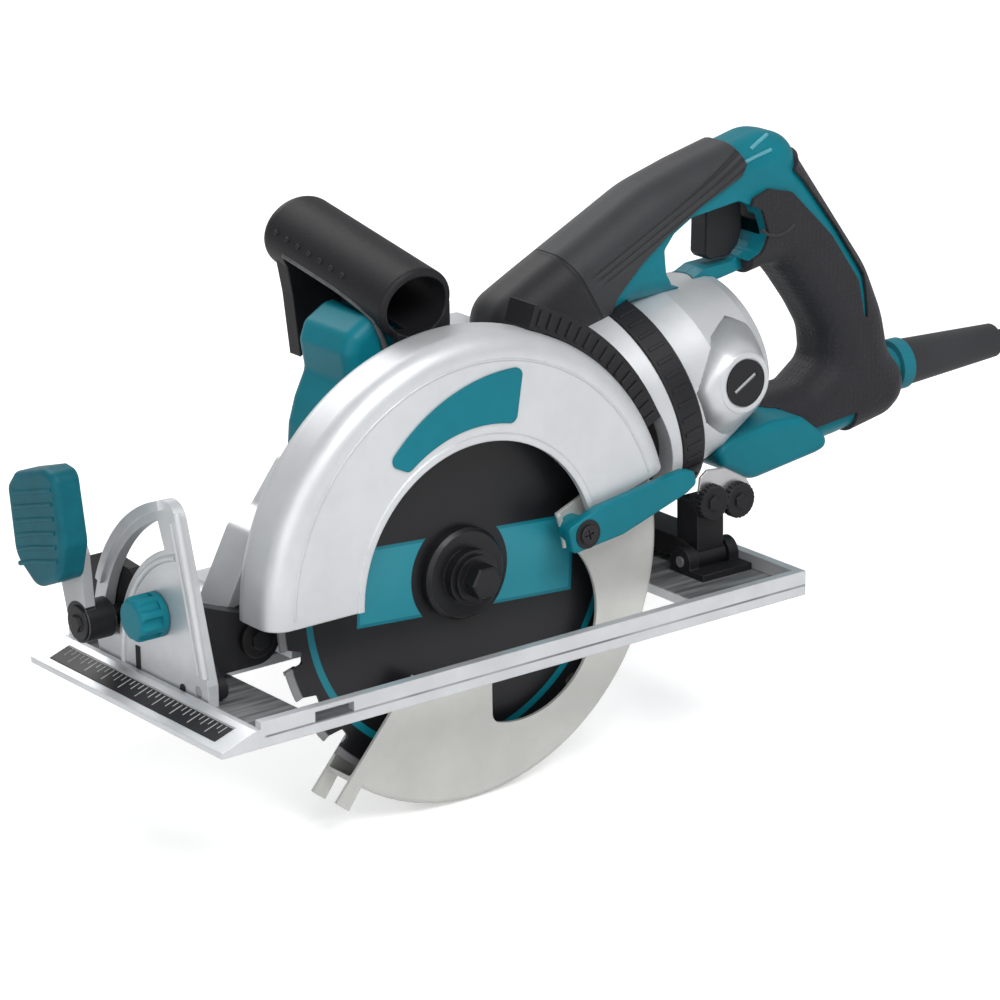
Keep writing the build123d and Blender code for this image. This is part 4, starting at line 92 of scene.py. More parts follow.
def coil_points():
    """Control points of the coil: in on the upper layer, down in a half turn, out on the lower."""
    step = CORD_PITCH / 2
    radii = [COIL_R - step * k for k in range(COIL_IN + 1)]
    radii += [radii[-1] + step * (k + 1) for k in range(COIL_OUT)]
    wedge = math.pi / HALF_TURN_POINTS
    x = COIL_R
    points = []
    for turn, radius in enumerate(radii):
        way = 1 if x > 0 else -1
        middle = x - way * radius
        reach = radius / math.cos(wedge / 2)
        for j in range(HALF_TURN_POINTS):
            part = (j + 0.5) / HALF_TURN_POINTS
            drop = 0 if turn < COIL_IN else (part if turn == COIL_IN else 1)
            points.append((COIL_X + middle + way * reach * math.cos(math.pi * part),
                           COIL_Y - way * reach * math.sin(math.pi * part),
                           COIL_TOP_Z - CORD_PITCH * drop))
        x -= 2 * way * radius
    points += [(COIL_X + x, COIL_Y - out, COIL_TOP_Z - CORD_PITCH)
               for out in (COIL_TAIL_START, COIL_TAIL / 2, COIL_TAIL)]
    return points


def make_cord():
    """The mains cord as one curve, from the sleeve to the plug."""
    data = bpy.data.curves.new("mains_cord", "CURVE")
    data.dimensions = "3D"
    data.bevel_depth = 1.0
    data.bevel_resolution = 5
    data.use_fill_caps = True
    data.resolution_u = 6
    spline = data.splines.new("NURBS")
    route = CORD_ROUTE + coil_points()
    spline.points.add(len(route) - 1)
    for point, place in zip(spline.points, route):
        point.co = (*(Vector(place) * MM), 1)
        point.radius = CORD_D / 2 * MM
    spline.order_u = 3
    spline.use_endpoint_u = True
    cord = bpy.data.objects.new("mains_cord", data)
    scene.collection.objects.link(cord)
    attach(cord, "saw_body")
    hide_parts("cord", "cord_coil")
    return cord


cord = make_cord()


def put(tree, kind, inputs=None, **props):
    """New shader node with its inputs set or linked."""
    made = tree.nodes.new("ShaderNode" + kind)
    for key, value in props.items():
        setattr(made, key, value)
    for key, value in (inputs or {}).items():
        if isinstance(value, bpy.types.NodeSocket):
            tree.links.new(value, made.inputs[key])
        else:
            made.inputs[key].default_value = value
    return made


def sums(tree, operation, first, second=0.0, third=0.0):
    """Result of a Math node."""
    return put(tree, "Math", {0: first, 1: second, 2: third}, operation=operation).outputs[0]


def blend_colour(tree, share, first, second):
    """Result of a colour mix: first where share is 0, second where it is 1."""
    made = put(tree, "Mix", data_type="RGBA")
    for key, value in ((0, share), (6, first), (7, second)):
        if isinstance(value, bpy.types.NodeSocket):
            tree.links.new(value, made.inputs[key])
        elif key == 0:
            made.inputs[key].default_value = value
        else:
            made.inputs[key].default_value = (*value, 1)
    return made.outputs[2]


def ramp(tree, value, low, high):
    """Smooth step from 0 to 1 between two values."""
    return put(tree, "MapRange", {0: value, 1: low, 2: high},
               interpolation_type="SMOOTHSTEP").outputs[0]


GRAIN_DEPTH = 0.0004


def finish(name, colour, metallic=0.0, rough=0.4, rough_spread=0.1, mottle=0.08, mottle_size=30,
           grain=0.05, grain_size=0.5, edge=0.5, edge_colour=None, edge_share=0.5, sheen=0.0,
           shine=0.5, brush=None, pattern=None, relief=None):
    """Material with a mottled colour, fine grain, rounded edges and worn edges, sizes in mm."""
    material = bpy.data.materials.new(name)
    material.use_nodes = True
    tree = material.node_tree
    shader = tree.nodes["Principled BSDF"]
    place = put(tree, "TexCoord").outputs["Object"]
    stretched = place
    if brush:
        stretched = put(tree, "Mapping", {"Vector": place, "Scale": brush}).outputs[0]
    cloud = put(tree, "TexNoise", {"Vector": place, "Scale": 1000 / mottle_size, "Detail": 5.0,
                                   "Roughness": 0.6}).outputs["Fac"]
    fine = put(tree, "TexNoise", {"Vector": stretched, "Scale": 1000 / grain_size,
                                  "Detail": 3.0}).outputs["Fac"]
    dark = [c * (1 - mottle) for c in colour]
    light = [min(1, c * (1 + mottle)) for c in colour]
    base = blend_colour(tree, ramp(tree, cloud, 0.3, 0.7), dark, light)
    if pattern:
        base = pattern(tree, place, base)
    bevel = put(tree, "Bevel", {"Radius": edge * MM}, samples=4).outputs[0]
    plain = put(tree, "NewGeometry").outputs["Normal"]
    turn = put(tree, "VectorMath", {0: bevel, 1: plain}, operation="DOT_PRODUCT").outputs["Value"]
    wear = sums(tree, "MULTIPLY", ramp(tree, sums(tree, "SUBTRACT", 1.0, turn), 0.01, 0.2),
                ramp(tree, cloud, 0.35, 0.65))
    wear = sums(tree, "MULTIPLY", wear, edge_share)
    worn = edge_colour or [min(1, c * 1.5 + 0.03) for c in colour]
    base = blend_colour(tree, wear, base, worn)
    tree.links.new(base, shader.inputs["Base Color"])
    mixed = sums(tree, "MULTIPLY_ADD", cloud, rough_spread, rough - rough_spread / 2)
    mixed = sums(tree, "MULTIPLY_ADD", fine, rough_spread / 2, mixed)
    tree.links.new(mixed, shader.inputs["Roughness"])
    normal = bevel
    if relief:
        normal = put(tree, "Bump", {"Height": relief(tree, place), "Strength": 1.0, "Distance": 1.0,
                                    "Normal": bevel}).outputs[0]
    normal = put(tree, "Bump", {"Height": fine, "Strength": grain, "Distance": GRAIN_DEPTH,
                                "Normal": normal}).outputs[0]
    tree.links.new(normal, shader.inputs["Normal"])
    shader.inputs["Metallic"].default_value = metallic
    shader.inputs["Sheen Weight"].default_value = sheen
    shader.inputs["Specular IOR Level"].default_value = shine
    return material


# Colours, as linear values
SILVER = (0.66, 0.675, 0.695)
WARM_SILVER = (0.60, 0.60, 0.575)
TEAL = (0.003, 0.165, 0.215)
TEAL_BRIGHT = (0.02, 0.25, 0.32)
BLACK = (0.010, 0.010, 0.012)
RUBBER = (0.030, 0.031, 0.035)
GRIP_RUBBER = (0.018, 0.018, 0.022)
ARBOR_Z = 32.5
BAR_SLOPE = math.radians(25.8)
BAR_GROOVES = (46.4, 49.6, 52.8)
BAR_ROOT_X = 100.0
BEVEL_BOLT = (65.28, 25.07)


def across(tree, place):
    """X, Y and Z of the surface in metres."""
    made = put(tree, "SeparateXYZ", {0: place})
    return made.outputs[0], made.outputs[1], made.outputs[2]


def band(tree, value, middle, half, soft):
    """1 within half of the middle, falling to 0 over soft, in mm of a value in metres."""
    far = sums(tree, "ABSOLUTE", sums(tree, "SUBTRACT", value, middle * MM))
    return sums(tree, "SUBTRACT", 1.0, ramp(tree, far, (half - soft) * MM, (half + soft) * MM))


def bar_lines(tree, place):
    """X, and the height over the sloping bar's own line, on the rear handle."""
    x, y, z = across(tree, place)
    up = sums(tree, "SUBTRACT", z, ARBOR_Z * MM)
    over = sums(tree, "MULTIPLY_ADD", x, -math.sin(BAR_SLOPE),
                sums(tree, "MULTIPLY", up, math.cos(BAR_SLOPE)))
    return x, over


def bar_groove_mask(tree, place):
    """Long grooves on the bar's sides, and one across it behind its root."""
    x, over = bar_lines(tree, place)
    mask = None
    for middle in BAR_GROOVES:
        line = band(tree, over, middle, 0.7, 0.4)
        mask = sums(tree, "MAXIMUM", mask, line) if mask else line
    behind = ramp(tree, sums(tree, "ADD", x, over), (BAR_ROOT_X + 45) * MM, (BAR_ROOT_X + 50) * MM)
    mask = sums(tree, "MULTIPLY", mask, behind)
    return sums(tree, "MAXIMUM", mask, band(tree, sums(tree, "ADD", x, sums(tree, "MULTIPLY", over, 0.5)),
                                            BAR_ROOT_X + 16, 0.8, 0.4))


def bar_colour(tree, place, base):
    """Darker root of the bar, and painted shade in its grooves."""
    x, over = bar_lines(tree, place)
    root = sums(tree, "SUBTRACT", 1.0, ramp(tree, sums(tree, "ADD", x, sums(tree, "MULTIPLY", over, 0.5)),
                                            (BAR_ROOT_X + 15) * MM, (BAR_ROOT_X + 17) * MM))
    base = blend_colour(tree, sums(tree, "MULTIPLY", root, 0.75), base, (0.008, 0.008, 0.010))
    # Grooves darkened towards near black: painted shade in the recesses
    return blend_colour(tree, sums(tree, "MULTIPLY", bar_groove_mask(tree, place), 0.7), base,
                        (0.006, 0.006, 0.007))


def bar_relief(tree, place):
    """Depth of the bar's grooves in metres."""
    return sums(tree, "MULTIPLY", bar_groove_mask(tree, place), -0.6 * MM)


def grip_relief(tree, place):
    """Small round pips of the rear grip's rubber, in metres."""
    pips = put(tree, "TexVoronoi", {"Vector": place, "Scale": 1000 / 2.6, "Randomness": 0.35},
               feature="F1").outputs["Distance"]
    return sums(tree, "MULTIPLY", ramp(tree, pips, 0.15, 0.5), -0.16 * MM)


def blade_print(tree, place, base):
    """Plain band through the hub and a ring near the rim, in the blade's second colour."""
    x, y, z = across(tree, place)
    up = sums(tree, "SUBTRACT", z, ARBOR_Z * MM)
    tilt = math.radians(-4)
    along = sums(tree, "MULTIPLY_ADD", up, math.sin(tilt), sums(tree, "MULTIPLY", x, math.cos(tilt)))
    side = sums(tree, "MULTIPLY_ADD", x, -math.sin(tilt), sums(tree, "MULTIPLY", up, math.cos(tilt)))
    inside = band(tree, side, 0, 17, 0.15)
    reach = band(tree, along, 4, 56, 0.15)
    rim = sums(tree, "MULTIPLY", band(tree, side, 0, 15.6, 0.15), band(tree, along, 4, 54.6, 0.15))
    radius = sums(tree, "SQRT", sums(tree, "MULTIPLY_ADD", x, x, sums(tree, "MULTIPLY", up, up)))
    ring = band(tree, radius, 77, 1.6, 0.1)
    near = sums(tree, "LESS_THAN", y, 0.0)
    label = sums(tree, "MULTIPLY", sums(tree, "MULTIPLY", inside, reach), near)
    label = sums(tree, "MULTIPLY", label, sums(tree, "GREATER_THAN", radius, 25 * MM))
    base = blend_colour(tree, ring, base, TEAL)
    base = blend_colour(tree, label, base, TEAL)
    base = blend_colour(tree, sums(tree, "MULTIPLY", label, rim), base, TEAL_BRIGHT)
    return blend_colour(tree, ramp(tree, radius, 88.5 * MM, 89.5 * MM), base, (0.22, 0.22, 0.23))


def sole_shade(tree, place, base):
    """Darker rolled skin on the plate between the shoe's rims, partly painted shade."""
    x, y, z = across(tree, place)
    floor_of_shoe = sums(tree, "MULTIPLY", band(tree, z, 4.5, 0.45, 0.2),
                         ramp(tree, x, -131 * MM, -129 * MM))
    rolled = put(tree, "Mapping", {"Vector": place, "Scale": (20, 260, 1)}).outputs[0]
    streak = put(tree, "TexNoise", {"Vector": rolled, "Scale": 1.0, "Detail": 4.0}).outputs["Fac"]
    dark = blend_colour(tree, ramp(tree, streak, 0.35, 0.7), (0.10, 0.104, 0.11), (0.42, 0.43, 0.44))
    return blend_colour(tree, sums(tree, "MULTIPLY", floor_of_shoe, 0.85), base, dark)


def sleeve_colour(tree, place, base):
    """Second colour on the cord sleeve's collar."""
    x, y, z = across(tree, place)
    return blend_colour(tree, ramp(tree, x, 288.0 * MM, 288.4 * MM), TEAL, base)


def clamp_paint(tree, place, base):
    """Black hub on the clamp lever's plain arm."""
    x, y, z = across(tree, place)
    side = sums(tree, "SUBTRACT", y, BEVEL_BOLT[0] * MM)
    up = sums(tree, "SUBTRACT", z, BEVEL_BOLT[1] * MM)
    radius = sums(tree, "SQRT", sums(tree, "MULTIPLY_ADD", side, side, sums(tree, "MULTIPLY", up, up)))
    return blend_colour(tree, ramp(tree, radius, 9.2 * MM, 9.6 * MM), BLACK, base)


cast = finish("cast_silver", SILVER, metallic=0.5, rough=0.40, mottle=0.05, grain=0.10, grain_size=0.6,
              edge=0.9)
plate = finish("shoe_silver", SILVER, metallic=0.6, rough=0.36, mottle=0.07, grain=0.08, grain_size=0.5,
               brush=(0.05, 1, 1), edge=0.6, pattern=sole_shade)
guard_metal = finish("lower_guard_silver", WARM_SILVER, metallic=0.4, rough=0.40, mottle=0.05, grain=0.06,
                     grain_size=0.5, edge=0.4)
teal = finish("teal_plastic", TEAL, rough=0.38, mottle=0.06, grain=0.10, grain_size=0.7, edge=0.8,
              edge_share=0.3, edge_colour=(0.03, 0.30, 0.37), shine=0.2)
# Thumb pad's teal: the handle's teal darkened, painted shade on the pad
pad_teal_painted_shade = finish("pad_teal_painted_shade", (0.002, 0.105, 0.14), rough=0.45, mottle=0.10, mottle_size=12, grain=0.25,
                  grain_size=0.8, edge=0.8, edge_share=0.3, edge_colour=(0.02, 0.22, 0.28), shine=0.2)
rubber = finish("black_rubber", RUBBER, rough=0.60, mottle=0.10, grain=0.30, grain_size=0.9, edge=0.8,
                sheen=0.08, edge_share=0.3, shine=0.3)
bar_rubber = finish("bar_rubber", RUBBER, rough=0.55, mottle=0.10, grain=0.30, grain_size=0.9, edge=0.8,
                    sheen=0.10, edge_share=0.3, shine=0.35, pattern=bar_colour, relief=bar_relief)
sleeve_rubber = finish("sleeve_rubber", RUBBER, rough=0.60, mottle=0.10, grain=0.30, grain_size=0.9, edge=0.8,
                       sheen=0.08, edge_share=0.3, shine=0.3, pattern=sleeve_colour)
grip_rubber = finish("grip_rubber", GRIP_RUBBER, rough=0.62, mottle=0.12, grain=0.25, grain_size=0.8,
                     edge=0.8, sheen=0.08, edge_share=0.3, shine=0.3, relief=grip_relief)
grip_black = finish("front_grip_black", BLACK, rough=0.48, mottle=0.10, grain=0.22, grain_size=0.7, edge=1.2,
                    edge_colour=(0.10, 0.10, 0.11), edge_share=0.7, shine=0.3)
black = finish("black_plastic", BLACK, rough=0.45, mottle=0.12, grain=0.18, grain_size=0.6, edge=0.6,
               edge_share=0.5, edge_colour=(0.08, 0.08, 0.085), shine=0.35)
casting = finish("black_casting", BLACK, metallic=0.2, rough=0.5, mottle=0.15, grain=0.35, grain_size=0.8,
                 edge=0.6, edge_colour=(0.16, 0.16, 0.165), edge_share=0.6, shine=0.4)
clamp = finish("clamp_lever_metal", (0.42, 0.43, 0.44), metallic=0.4, rough=0.42, mottle=0.08, grain=0.1,
               grain_size=0.6, edge=0.6, pattern=clamp_paint)
steel = finish("bright_steel", (0.52, 0.52, 0.53), metallic=0.9, rough=0.28, mottle=0.06, grain=0.06,
               grain_size=0.4, edge=0.3)
dark_steel = finish("dark_steel", (0.016, 0.016, 0.018), metallic=0.4, rough=0.36, mottle=0.1, grain=0.08,
                    grain_size=0.4, edge=0.5, edge_colour=(0.18, 0.18, 0.19), edge_share=0.6)
coated = finish("blade_coat", (0.010, 0.010, 0.012), metallic=0.1, rough=0.36, mottle=0.10, grain=0.05,
                grain_size=0.4, edge=0.2, edge_colour=(0.20, 0.20, 0.21), shine=0.4, pattern=blade_print)
iron = finish("core_iron", (0.18, 0.17, 0.165), metallic=0.6, rough=0.5, mottle=0.1, grain=0.1,
              grain_size=0.6)
copper = finish("copper", (0.55, 0.27, 0.14), metallic=0.9, rough=0.35, mottle=0.08, grain=0.06,
                grain_size=0.4)
carbon = finish("carbon", (0.03, 0.03, 0.03), rough=0.6, mottle=0.1, grain=0.2, grain_size=0.5)
# Paler black for the bead along the front grip's mouth
pale_edge = finish("pale_black_bead", (0.09, 0.09, 0.095), rough=0.45, mottle=0.3, mottle_size=9, grain=0.2,
                   grain_size=0.7)
# Paler teal for the cap's ridges: a painted highlight
highlight_teal = finish("teal_ridge_painted_highlight", (0.08, 0.33, 0.40), rough=0.36, mottle=0.08, grain=0.1, grain_size=0.7)
pale_paint = finish("scale_paint", (0.5, 0.5, 0.5), rough=0.5, mottle=0.15, mottle_size=4, grain=0.1,
                    grain_size=0.4)
cord_skin = finish("cord_rubber", (0.014, 0.014, 0.016), rough=0.5, mottle=0.06, grain=0.12, grain_size=0.8,
                   shine=0.35)

WEARS = {
    cast: "upper_guard gear_housing gear_cover motor_housing",
    plate: "shoe bevel_quadrant",
    guard_metal: "lower_guard depth_guide",
    teal: "handle_left handle_right handle_saddle front_stalk bevel_stop_knob guard_lever guard_badge",
    pad_teal_painted_shade: "bevel_pad",
    sleeve_rubber: "cord_sleeve",
    bar_rubber: "bar_skin",
    grip_rubber: "grip_skin",
    grip_black: "front_grip",
    black: "guard_shroud baffle_ring brush_caps fan switch_box trigger shaft_lock brush_holders depth_lever "
           "plug cord_tie",
    casting: "tilt_frame rear_bracket",
    clamp: "bevel_lever",
    coated: "blade",
    dark_steel: "outer_flange inner_flange blade_bolt spindle guard_lever_screw",
    steel: "guard_screws cover_screws handle_screws bevel_pins depth_pivot_pin spindle_bearing "
           "spindle_end_bearing motor_front_bearing motor_rear_bearing armature_shaft pinion ring_gear "
           "bearing_retainer guard_spring",
    iron: "armature_core field_core",
    copper: "commutator",
    carbon: "carbon_brushes",
}


def dress(thing, material):
    """The one material of a piece."""
    thing.data.materials.clear()
    thing.data.materials.append(material)


for material, names in WEARS.items():
    for name in names.split():
        dress(nodes[name], material)
dress(cord, cord_skin)

# Moulded and fixed details, drawn in mm
TILT = math.radians(15)
SHAFT = Vector((math.cos(TILT), 0, math.sin(TILT)))
SHAFT_UP = Vector((-math.sin(TILT), 0, math.cos(TILT)))
SHAFT_Y = 45.0
SHAFT_RISE = 9.1
SHAFT_FROM = Vector((0, SHAFT_Y, ARBOR_Z)) + SHAFT_UP * SHAFT_RISE
ACROSS = Vector((0, 1, 0))


def piece(name, form, body, material):
    """Finished piece from a form in mm, riding on a body."""
    bmesh.ops.recalc_face_normals(form, faces=form.faces)
    bmesh.ops.scale(form, vec=(MM, MM, MM), verts=form.verts)
    mesh = bpy.data.meshes.new(name)
    form.to_mesh(mesh)
    form.free()
    made = bpy.data.objects.new(name, mesh)
    scene.collection.objects.link(made)
    dress(made, material)
    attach(made, body)


def axes(place, first, second):
    """Matrix with its origin at a place and its first two axes along two directions."""
    first = Vector(first).normalized()
    third = first.cross(Vector(second)).normalized()
    turn = Matrix((first, third.cross(first), third)).transposed().to_4x4()
    return Matrix.Translation(Vector(place)) @ turn


def block(form, size, where, soften):
    """Box of a size about the matrix's origin, with rounded edges."""
    made = bmesh.ops.create_cube(form, size=1)["verts"]
    bmesh.ops.scale(form, vec=size, verts=made)
    bmesh.ops.transform(form, matrix=where, verts=made)
    edges = list({edge for vert in made for edge in vert.link_edges})
    bmesh.ops.bevel(form, geom=edges, offset=soften, segments=2, profile=0.5, affect="EDGES", material=-1)


def button(form, radius, height, where, soften, sides=28, top=None):
    """Round or many-sided button standing on the matrix's origin, with a rounded top edge."""
    made = bmesh.ops.create_cone(form, cap_ends=True, segments=sides, radius1=radius, radius2=top or radius,
                                 depth=height)["verts"]
    bmesh.ops.translate(form, vec=(0, 0, height / 2), verts=made)
    crown = [edge for edge in {edge for vert in made for edge in vert.link_edges}
             if all(vert.co.z > height * 0.9 for vert in edge.verts)]
    bmesh.ops.transform(form, matrix=where, verts=made)
    bmesh.ops.bevel(form, geom=crown, offset=soften, segments=2, profile=0.5, affect="EDGES", material=-1)


def rod(form, points, radius, sides=10):
    """Round bead along a row of points, closed at both ends."""
    loops = []
    for i, point in enumerate(points):
        ahead = Vector(points[min(i + 1, len(points) - 1)]) - Vector(points[max(i - 1, 0)])
        turn = ahead.to_track_quat("Z", "Y").to_matrix().to_4x4()
        made = bmesh.ops.create_circle(form, cap_ends=i in (0, len(points) - 1), segments=sides,
                                       radius=radius, matrix=Matrix.Translation(Vector(point)) @ turn)
        loops.append(made["verts"])
    for one, other in zip(loops, loops[1:]):
        edges = [edge for loop in (one, other) for vert in loop for edge in vert.link_edges
                 if all(end in loop for end in edge.verts)]
        bmesh.ops.bridge_loops(form, edges=list(dict.fromkeys(edges)))


def arc_strip(form, radii, depth, centre, start, end, steps=48):
    """Flat bead round the arbor's direction between two radii and two angles, from centre's y by depth."""
    corners = [(radii[0], 0), (radii[1], 0), (radii[1], depth), (radii[0], depth)]
    angle = math.radians(start)
    row = [form.verts.new(Vector(centre) + Vector((r * math.cos(angle), y, r * math.sin(angle))))
           for r, y in corners]
    face = form.faces.new(row)
    bmesh.ops.spin(form, geom=[face, *face.edges, *face.verts], cent=centre, axis=(0, -1, 0),
                   angle=math.radians(end - start), steps=steps, use_duplicate=False)


ARBOR = Vector((0, 0, ARBOR_Z))

# Upper guard: bright lip round its window, and a bead inside its shoulder
WINDOW_LIP = (59.9, 61.7)
SHOULDER_BEAD = (93.6, 94.6)
form = bmesh.new()
arc_strip(form, WINDOW_LIP, -0.9, ARBOR + Vector((0, -15.6, 0)), 14, 180)
arc_strip(form, SHOULDER_BEAD, -0.45, ARBOR + Vector((0, -15.8, 0)), 18, 178)
piece("guard_beads", form, "saw_body", cast)

# Front grip: row of nubs over its mouth, and a pale edge along the mouth
GRIP_X = -7.0
GRIP_AXIS = [Vector((GRIP_X, 16, ARBOR_Z + 113)), Vector((GRIP_X, 104, ARBOR_Z + 129))]
GRIP_HALF_X = 18
GRIP_HALF_Z = 16
NUB_ANGLE = 18


def grip_middle(y):
    """Point of the grip's axis at y."""
    return GRIP_AXIS[0].lerp(GRIP_AXIS[1], (y - GRIP_AXIS[0].y) / (GRIP_AXIS[1].y - GRIP_AXIS[0].y))


def on_grip(y, angle):
    """Point on the grip's outside at y, at an angle up from its front."""
    a = math.radians(angle)
    return grip_middle(y) + Vector((-GRIP_HALF_X * math.cos(a), 0, GRIP_HALF_Z * math.sin(a)))


form = bmesh.new()
for y in range(44, 93, 8):
    out = on_grip(y, NUB_ANGLE) - on_grip(y, NUB_ANGLE + 180)
    foot = on_grip(y, NUB_ANGLE) - 0.4 * out.normalized()
    button(form, 1.3, 1.1, axes(foot, ACROSS, out.cross(ACROSS)), 0.5, sides=14)
piece("grip_nubs", form, "saw_body", black)

form = bmesh.new()
MOUTH = [(87, 123), (68, 119.7), (50, 116.5), (40, 113.9), (32, 111.5), (24, 108)]
edge_row = []
for y, up in MOUTH:
    rise = (ARBOR_Z + up - grip_middle(y).z) / GRIP_HALF_Z
    edge_row.append(Vector((GRIP_X - GRIP_HALF_X * math.sqrt(1 - rise * rise) + 0.7, y, ARBOR_Z + up)))
edge_row.append(edge_row[-1] + Vector((3, -1, -8)))
edge_row.append(edge_row[-1] + Vector((3, -0.5, -13)))
rod(form, edge_row, 1.3)
piece("grip_mouth_edge", form, "saw_body", pale_edge)

# Ribs on the ring in front of the motor, and on the strip over the guard
RING_AT = 129
RING_R = 50
STRIP_R = 110.8
STRIP_Y = -4.4
form = bmesh.new()
for turn in range(0, 360, 8):
    a = math.radians(turn)
    out = math.cos(a) * SHAFT_UP + math.sin(a) * ACROSS
    rib_at = SHAFT_FROM + SHAFT * RING_AT + out * RING_R
    block(form, (8.5, 1.8, 1.0), axes(rib_at, SHAFT, out.cross(SHAFT)), 0.3)
piece("ring_ribs", form, "saw_body", black)
form = bmesh.new()
for turn in range(26, 70, 3):
    a = math.radians(turn)
    out = Vector((math.cos(a), 0, math.sin(a)))
    rib_at = ARBOR + out * STRIP_R + Vector((0, STRIP_Y, 0))
    block(form, (7, 1.6, 0.8), axes(rib_at, out, out.cross(ACROSS)), 0.25)
piece("strip_ribs", form, "saw_body", black)

# Flat faces that the motor housing has round each brush cap
FACET_RIM = [(-27, 6.5), (-6, 24), (9, 26.6), (20, 16), (22.5, -8), (10, -25), (-12, -26), (-25, -10)]
FACET_TOP_R = 13.5
FACET_TOP_Y = 44.6
FACET_SINK = 0.3
FACET_STEPS = 8
BRUSH_AT = 165.0
MOTOR_R = 43.0
MOTOR_END_R = 36.0
MOTOR_TAPER = (156, 183)


def motor_radius(along):
    """Outside radius of the motor housing at a place along its shaft."""
    start, end = MOTOR_TAPER
    if along < start:
        return MOTOR_R
    if along < end:
        return MOTOR_R - (MOTOR_R - MOTOR_END_R) * (along - start) / (end - start)
    return MOTOR_END_R - (along - end)


def brush_point(along, up, out):
    """Place round a brush cap: along the shaft, up from it and out to one side."""
    return SHAFT_FROM + SHAFT * (BRUSH_AT + along) + SHAFT_UP * up + ACROSS * out


for side, name in ((-1, "brush_face_near"), (1, "brush_face_far")):
    form = bmesh.new()
    foot = []
    crown = []
    for start, end in zip(FACET_RIM, FACET_RIM[1:] + FACET_RIM[:1]):
        for step in range(FACET_STEPS):
            along, up = Vector(start).lerp(Vector(end), step / FACET_STEPS)
            reach = math.sqrt(motor_radius(BRUSH_AT + along) ** 2 - up * up) - FACET_SINK
            foot.append(form.verts.new(brush_point(along, up, side * reach)))
            shrink = FACET_TOP_R / math.hypot(along, up)
            crown.append(form.verts.new(brush_point(along * shrink, up * shrink, side * FACET_TOP_Y)))
    count = len(foot)
    walls = [form.faces.new((foot[i], foot[(i + 1) % count], crown[(i + 1) % count], crown[i]))
             for i in range(count)]
    form.faces.new(crown)
    form.faces.new(foot[::-1])
    for wall in walls:
        wall.smooth = True
    rim_edges = [edge for edge in form.edges if all(end in crown for end in edge.verts)]
    bmesh.ops.bevel(form, geom=rim_edges, offset=0.8, segments=2, profile=0.5, affect="EDGES", material=-1)
    piece(name, form, "saw_body", cast)

# Ridges on the handle's cap in a paler teal, a painted highlight, and the crease of the grip's panel
form = bmesh.new()
rod(form, [(180, 30.0, ARBOR_Z + 140), (188, 30.0, ARBOR_Z + 142), (197, 30.1, ARBOR_Z + 143.8)], 0.9)
rod(form, [(187, 32.2, ARBOR_Z + 145), (193, 33.6, ARBOR_Z + 147.4), (199, 35.2, ARBOR_Z + 149.3)], 0.9)
piece("cap_ridges", form, "saw_body", highlight_teal)
form = bmesh.new()
rod(form, [(189, 27.3, ARBOR_Z + 109.5), (193, 27.0, ARBOR_Z + 106.4), (198.4, 27.0, ARBOR_Z + 105.2),
           (204, 27.0, ARBOR_Z + 106), (208, 27.2, ARBOR_Z + 108.6)], 0.7)
piece("panel_crease", form, "saw_body", rubber)

# Guard lever: black disc round its screw, painted shade of the screw's recess; lower guard: lip round its eye
LEVER_ANGLE = math.radians(12)
LEVER_SCREW_AT = 52.5
LEVER_FACE_Y = -22.5
EYE_LIP = (47.2, 49.4)
form = bmesh.new()
lever_at = ARBOR + LEVER_SCREW_AT * Vector((math.cos(LEVER_ANGLE), 0, math.sin(LEVER_ANGLE)))
# Flat black disc on the lever's face: painted shade of the screw's recess
button(form, 6.4, 0.5, axes(lever_at + Vector((0, LEVER_FACE_Y, 0)), (1, 0, 0), (0, 0, 1)), 0.2)
piece("lever_screw_recess_shade", form, "lower_guard", black)
form = bmesh.new()
arc_strip(form, EYE_LIP, -1.2, ARBOR + Vector((0, -9.9, 0)), 3, 21)
piece("eye_lip", form, "lower_guard", guard_metal)

# Bevel quadrant: rib inside its slot, ridges on its upright edge, and black pieces as painted shade of a slot
# and a hole below the knob
QUADRANT_X = -131.0
SLOT_RIB_R = 55.3
BEVEL_AXIS_Z = 10
form = bmesh.new()
rod(form, [(QUADRANT_X, SLOT_RIB_R * math.cos(math.radians(t)),
            BEVEL_AXIS_Z + SLOT_RIB_R * math.sin(math.radians(t))) for t in range(-4, 77, 4)], 1.5)
rod(form, [(QUADRANT_X, 11.2, 83), (QUADRANT_X, 2.6, 50), (QUADRANT_X, -5.2, 17)], 1.5)
rod(form, [(QUADRANT_X, 15.4, 78), (QUADRANT_X, 7.4, 50), (QUADRANT_X, -0.6, 17)], 0.9)
piece("quadrant_ribs", form, "shoe", cast)
form = bmesh.new()
# Black block and disc laid on the face for the slot and the hole: painted shade
block(form, (0.8, 3.4, 11), Matrix.Translation((QUADRANT_X, 44.5, 12)), 0.3)
button(form, 1.9, 0.5, axes((QUADRANT_X, 11.4, 8.5), (0, 0, 1), (0, 1, 0)), 0.15, sides=16)
piece("quadrant_slot_hole_shade", form, "shoe", casting)

# Scale on the ramp: a dark strip with plain ticks
RAMP = Vector((16.5, 0, 5.5)).normalized()
STRIP_AT = Vector((-142.5, 26, 4.9))
TICK_STEP = 3.2
TICK_LONG = 7.0
TICK_MIDDLE = 4.6
TICK_SHORT = 3.0
TICK_END = 4.2
TICK_RISE = Vector((0, 0, 0.22))
form = bmesh.new()
block(form, (9.6, 123.6, 0.4), axes(STRIP_AT, RAMP, ACROSS), 0.12)
piece("scale_strip", form, "shoe", black)
form = bmesh.new()
for tick in range(-18, 19):
    long = TICK_LONG if tick % 4 == 0 else (TICK_MIDDLE if tick % 2 == 0 else TICK_SHORT)
    centre = STRIP_AT + ACROSS * tick * TICK_STEP + RAMP * (TICK_END - long / 2) + TICK_RISE
    block(form, (long, 0.55, 0.16), axes(centre, RAMP, ACROSS), 0.05)
piece("scale_ticks", form, "shoe", pale_paint)

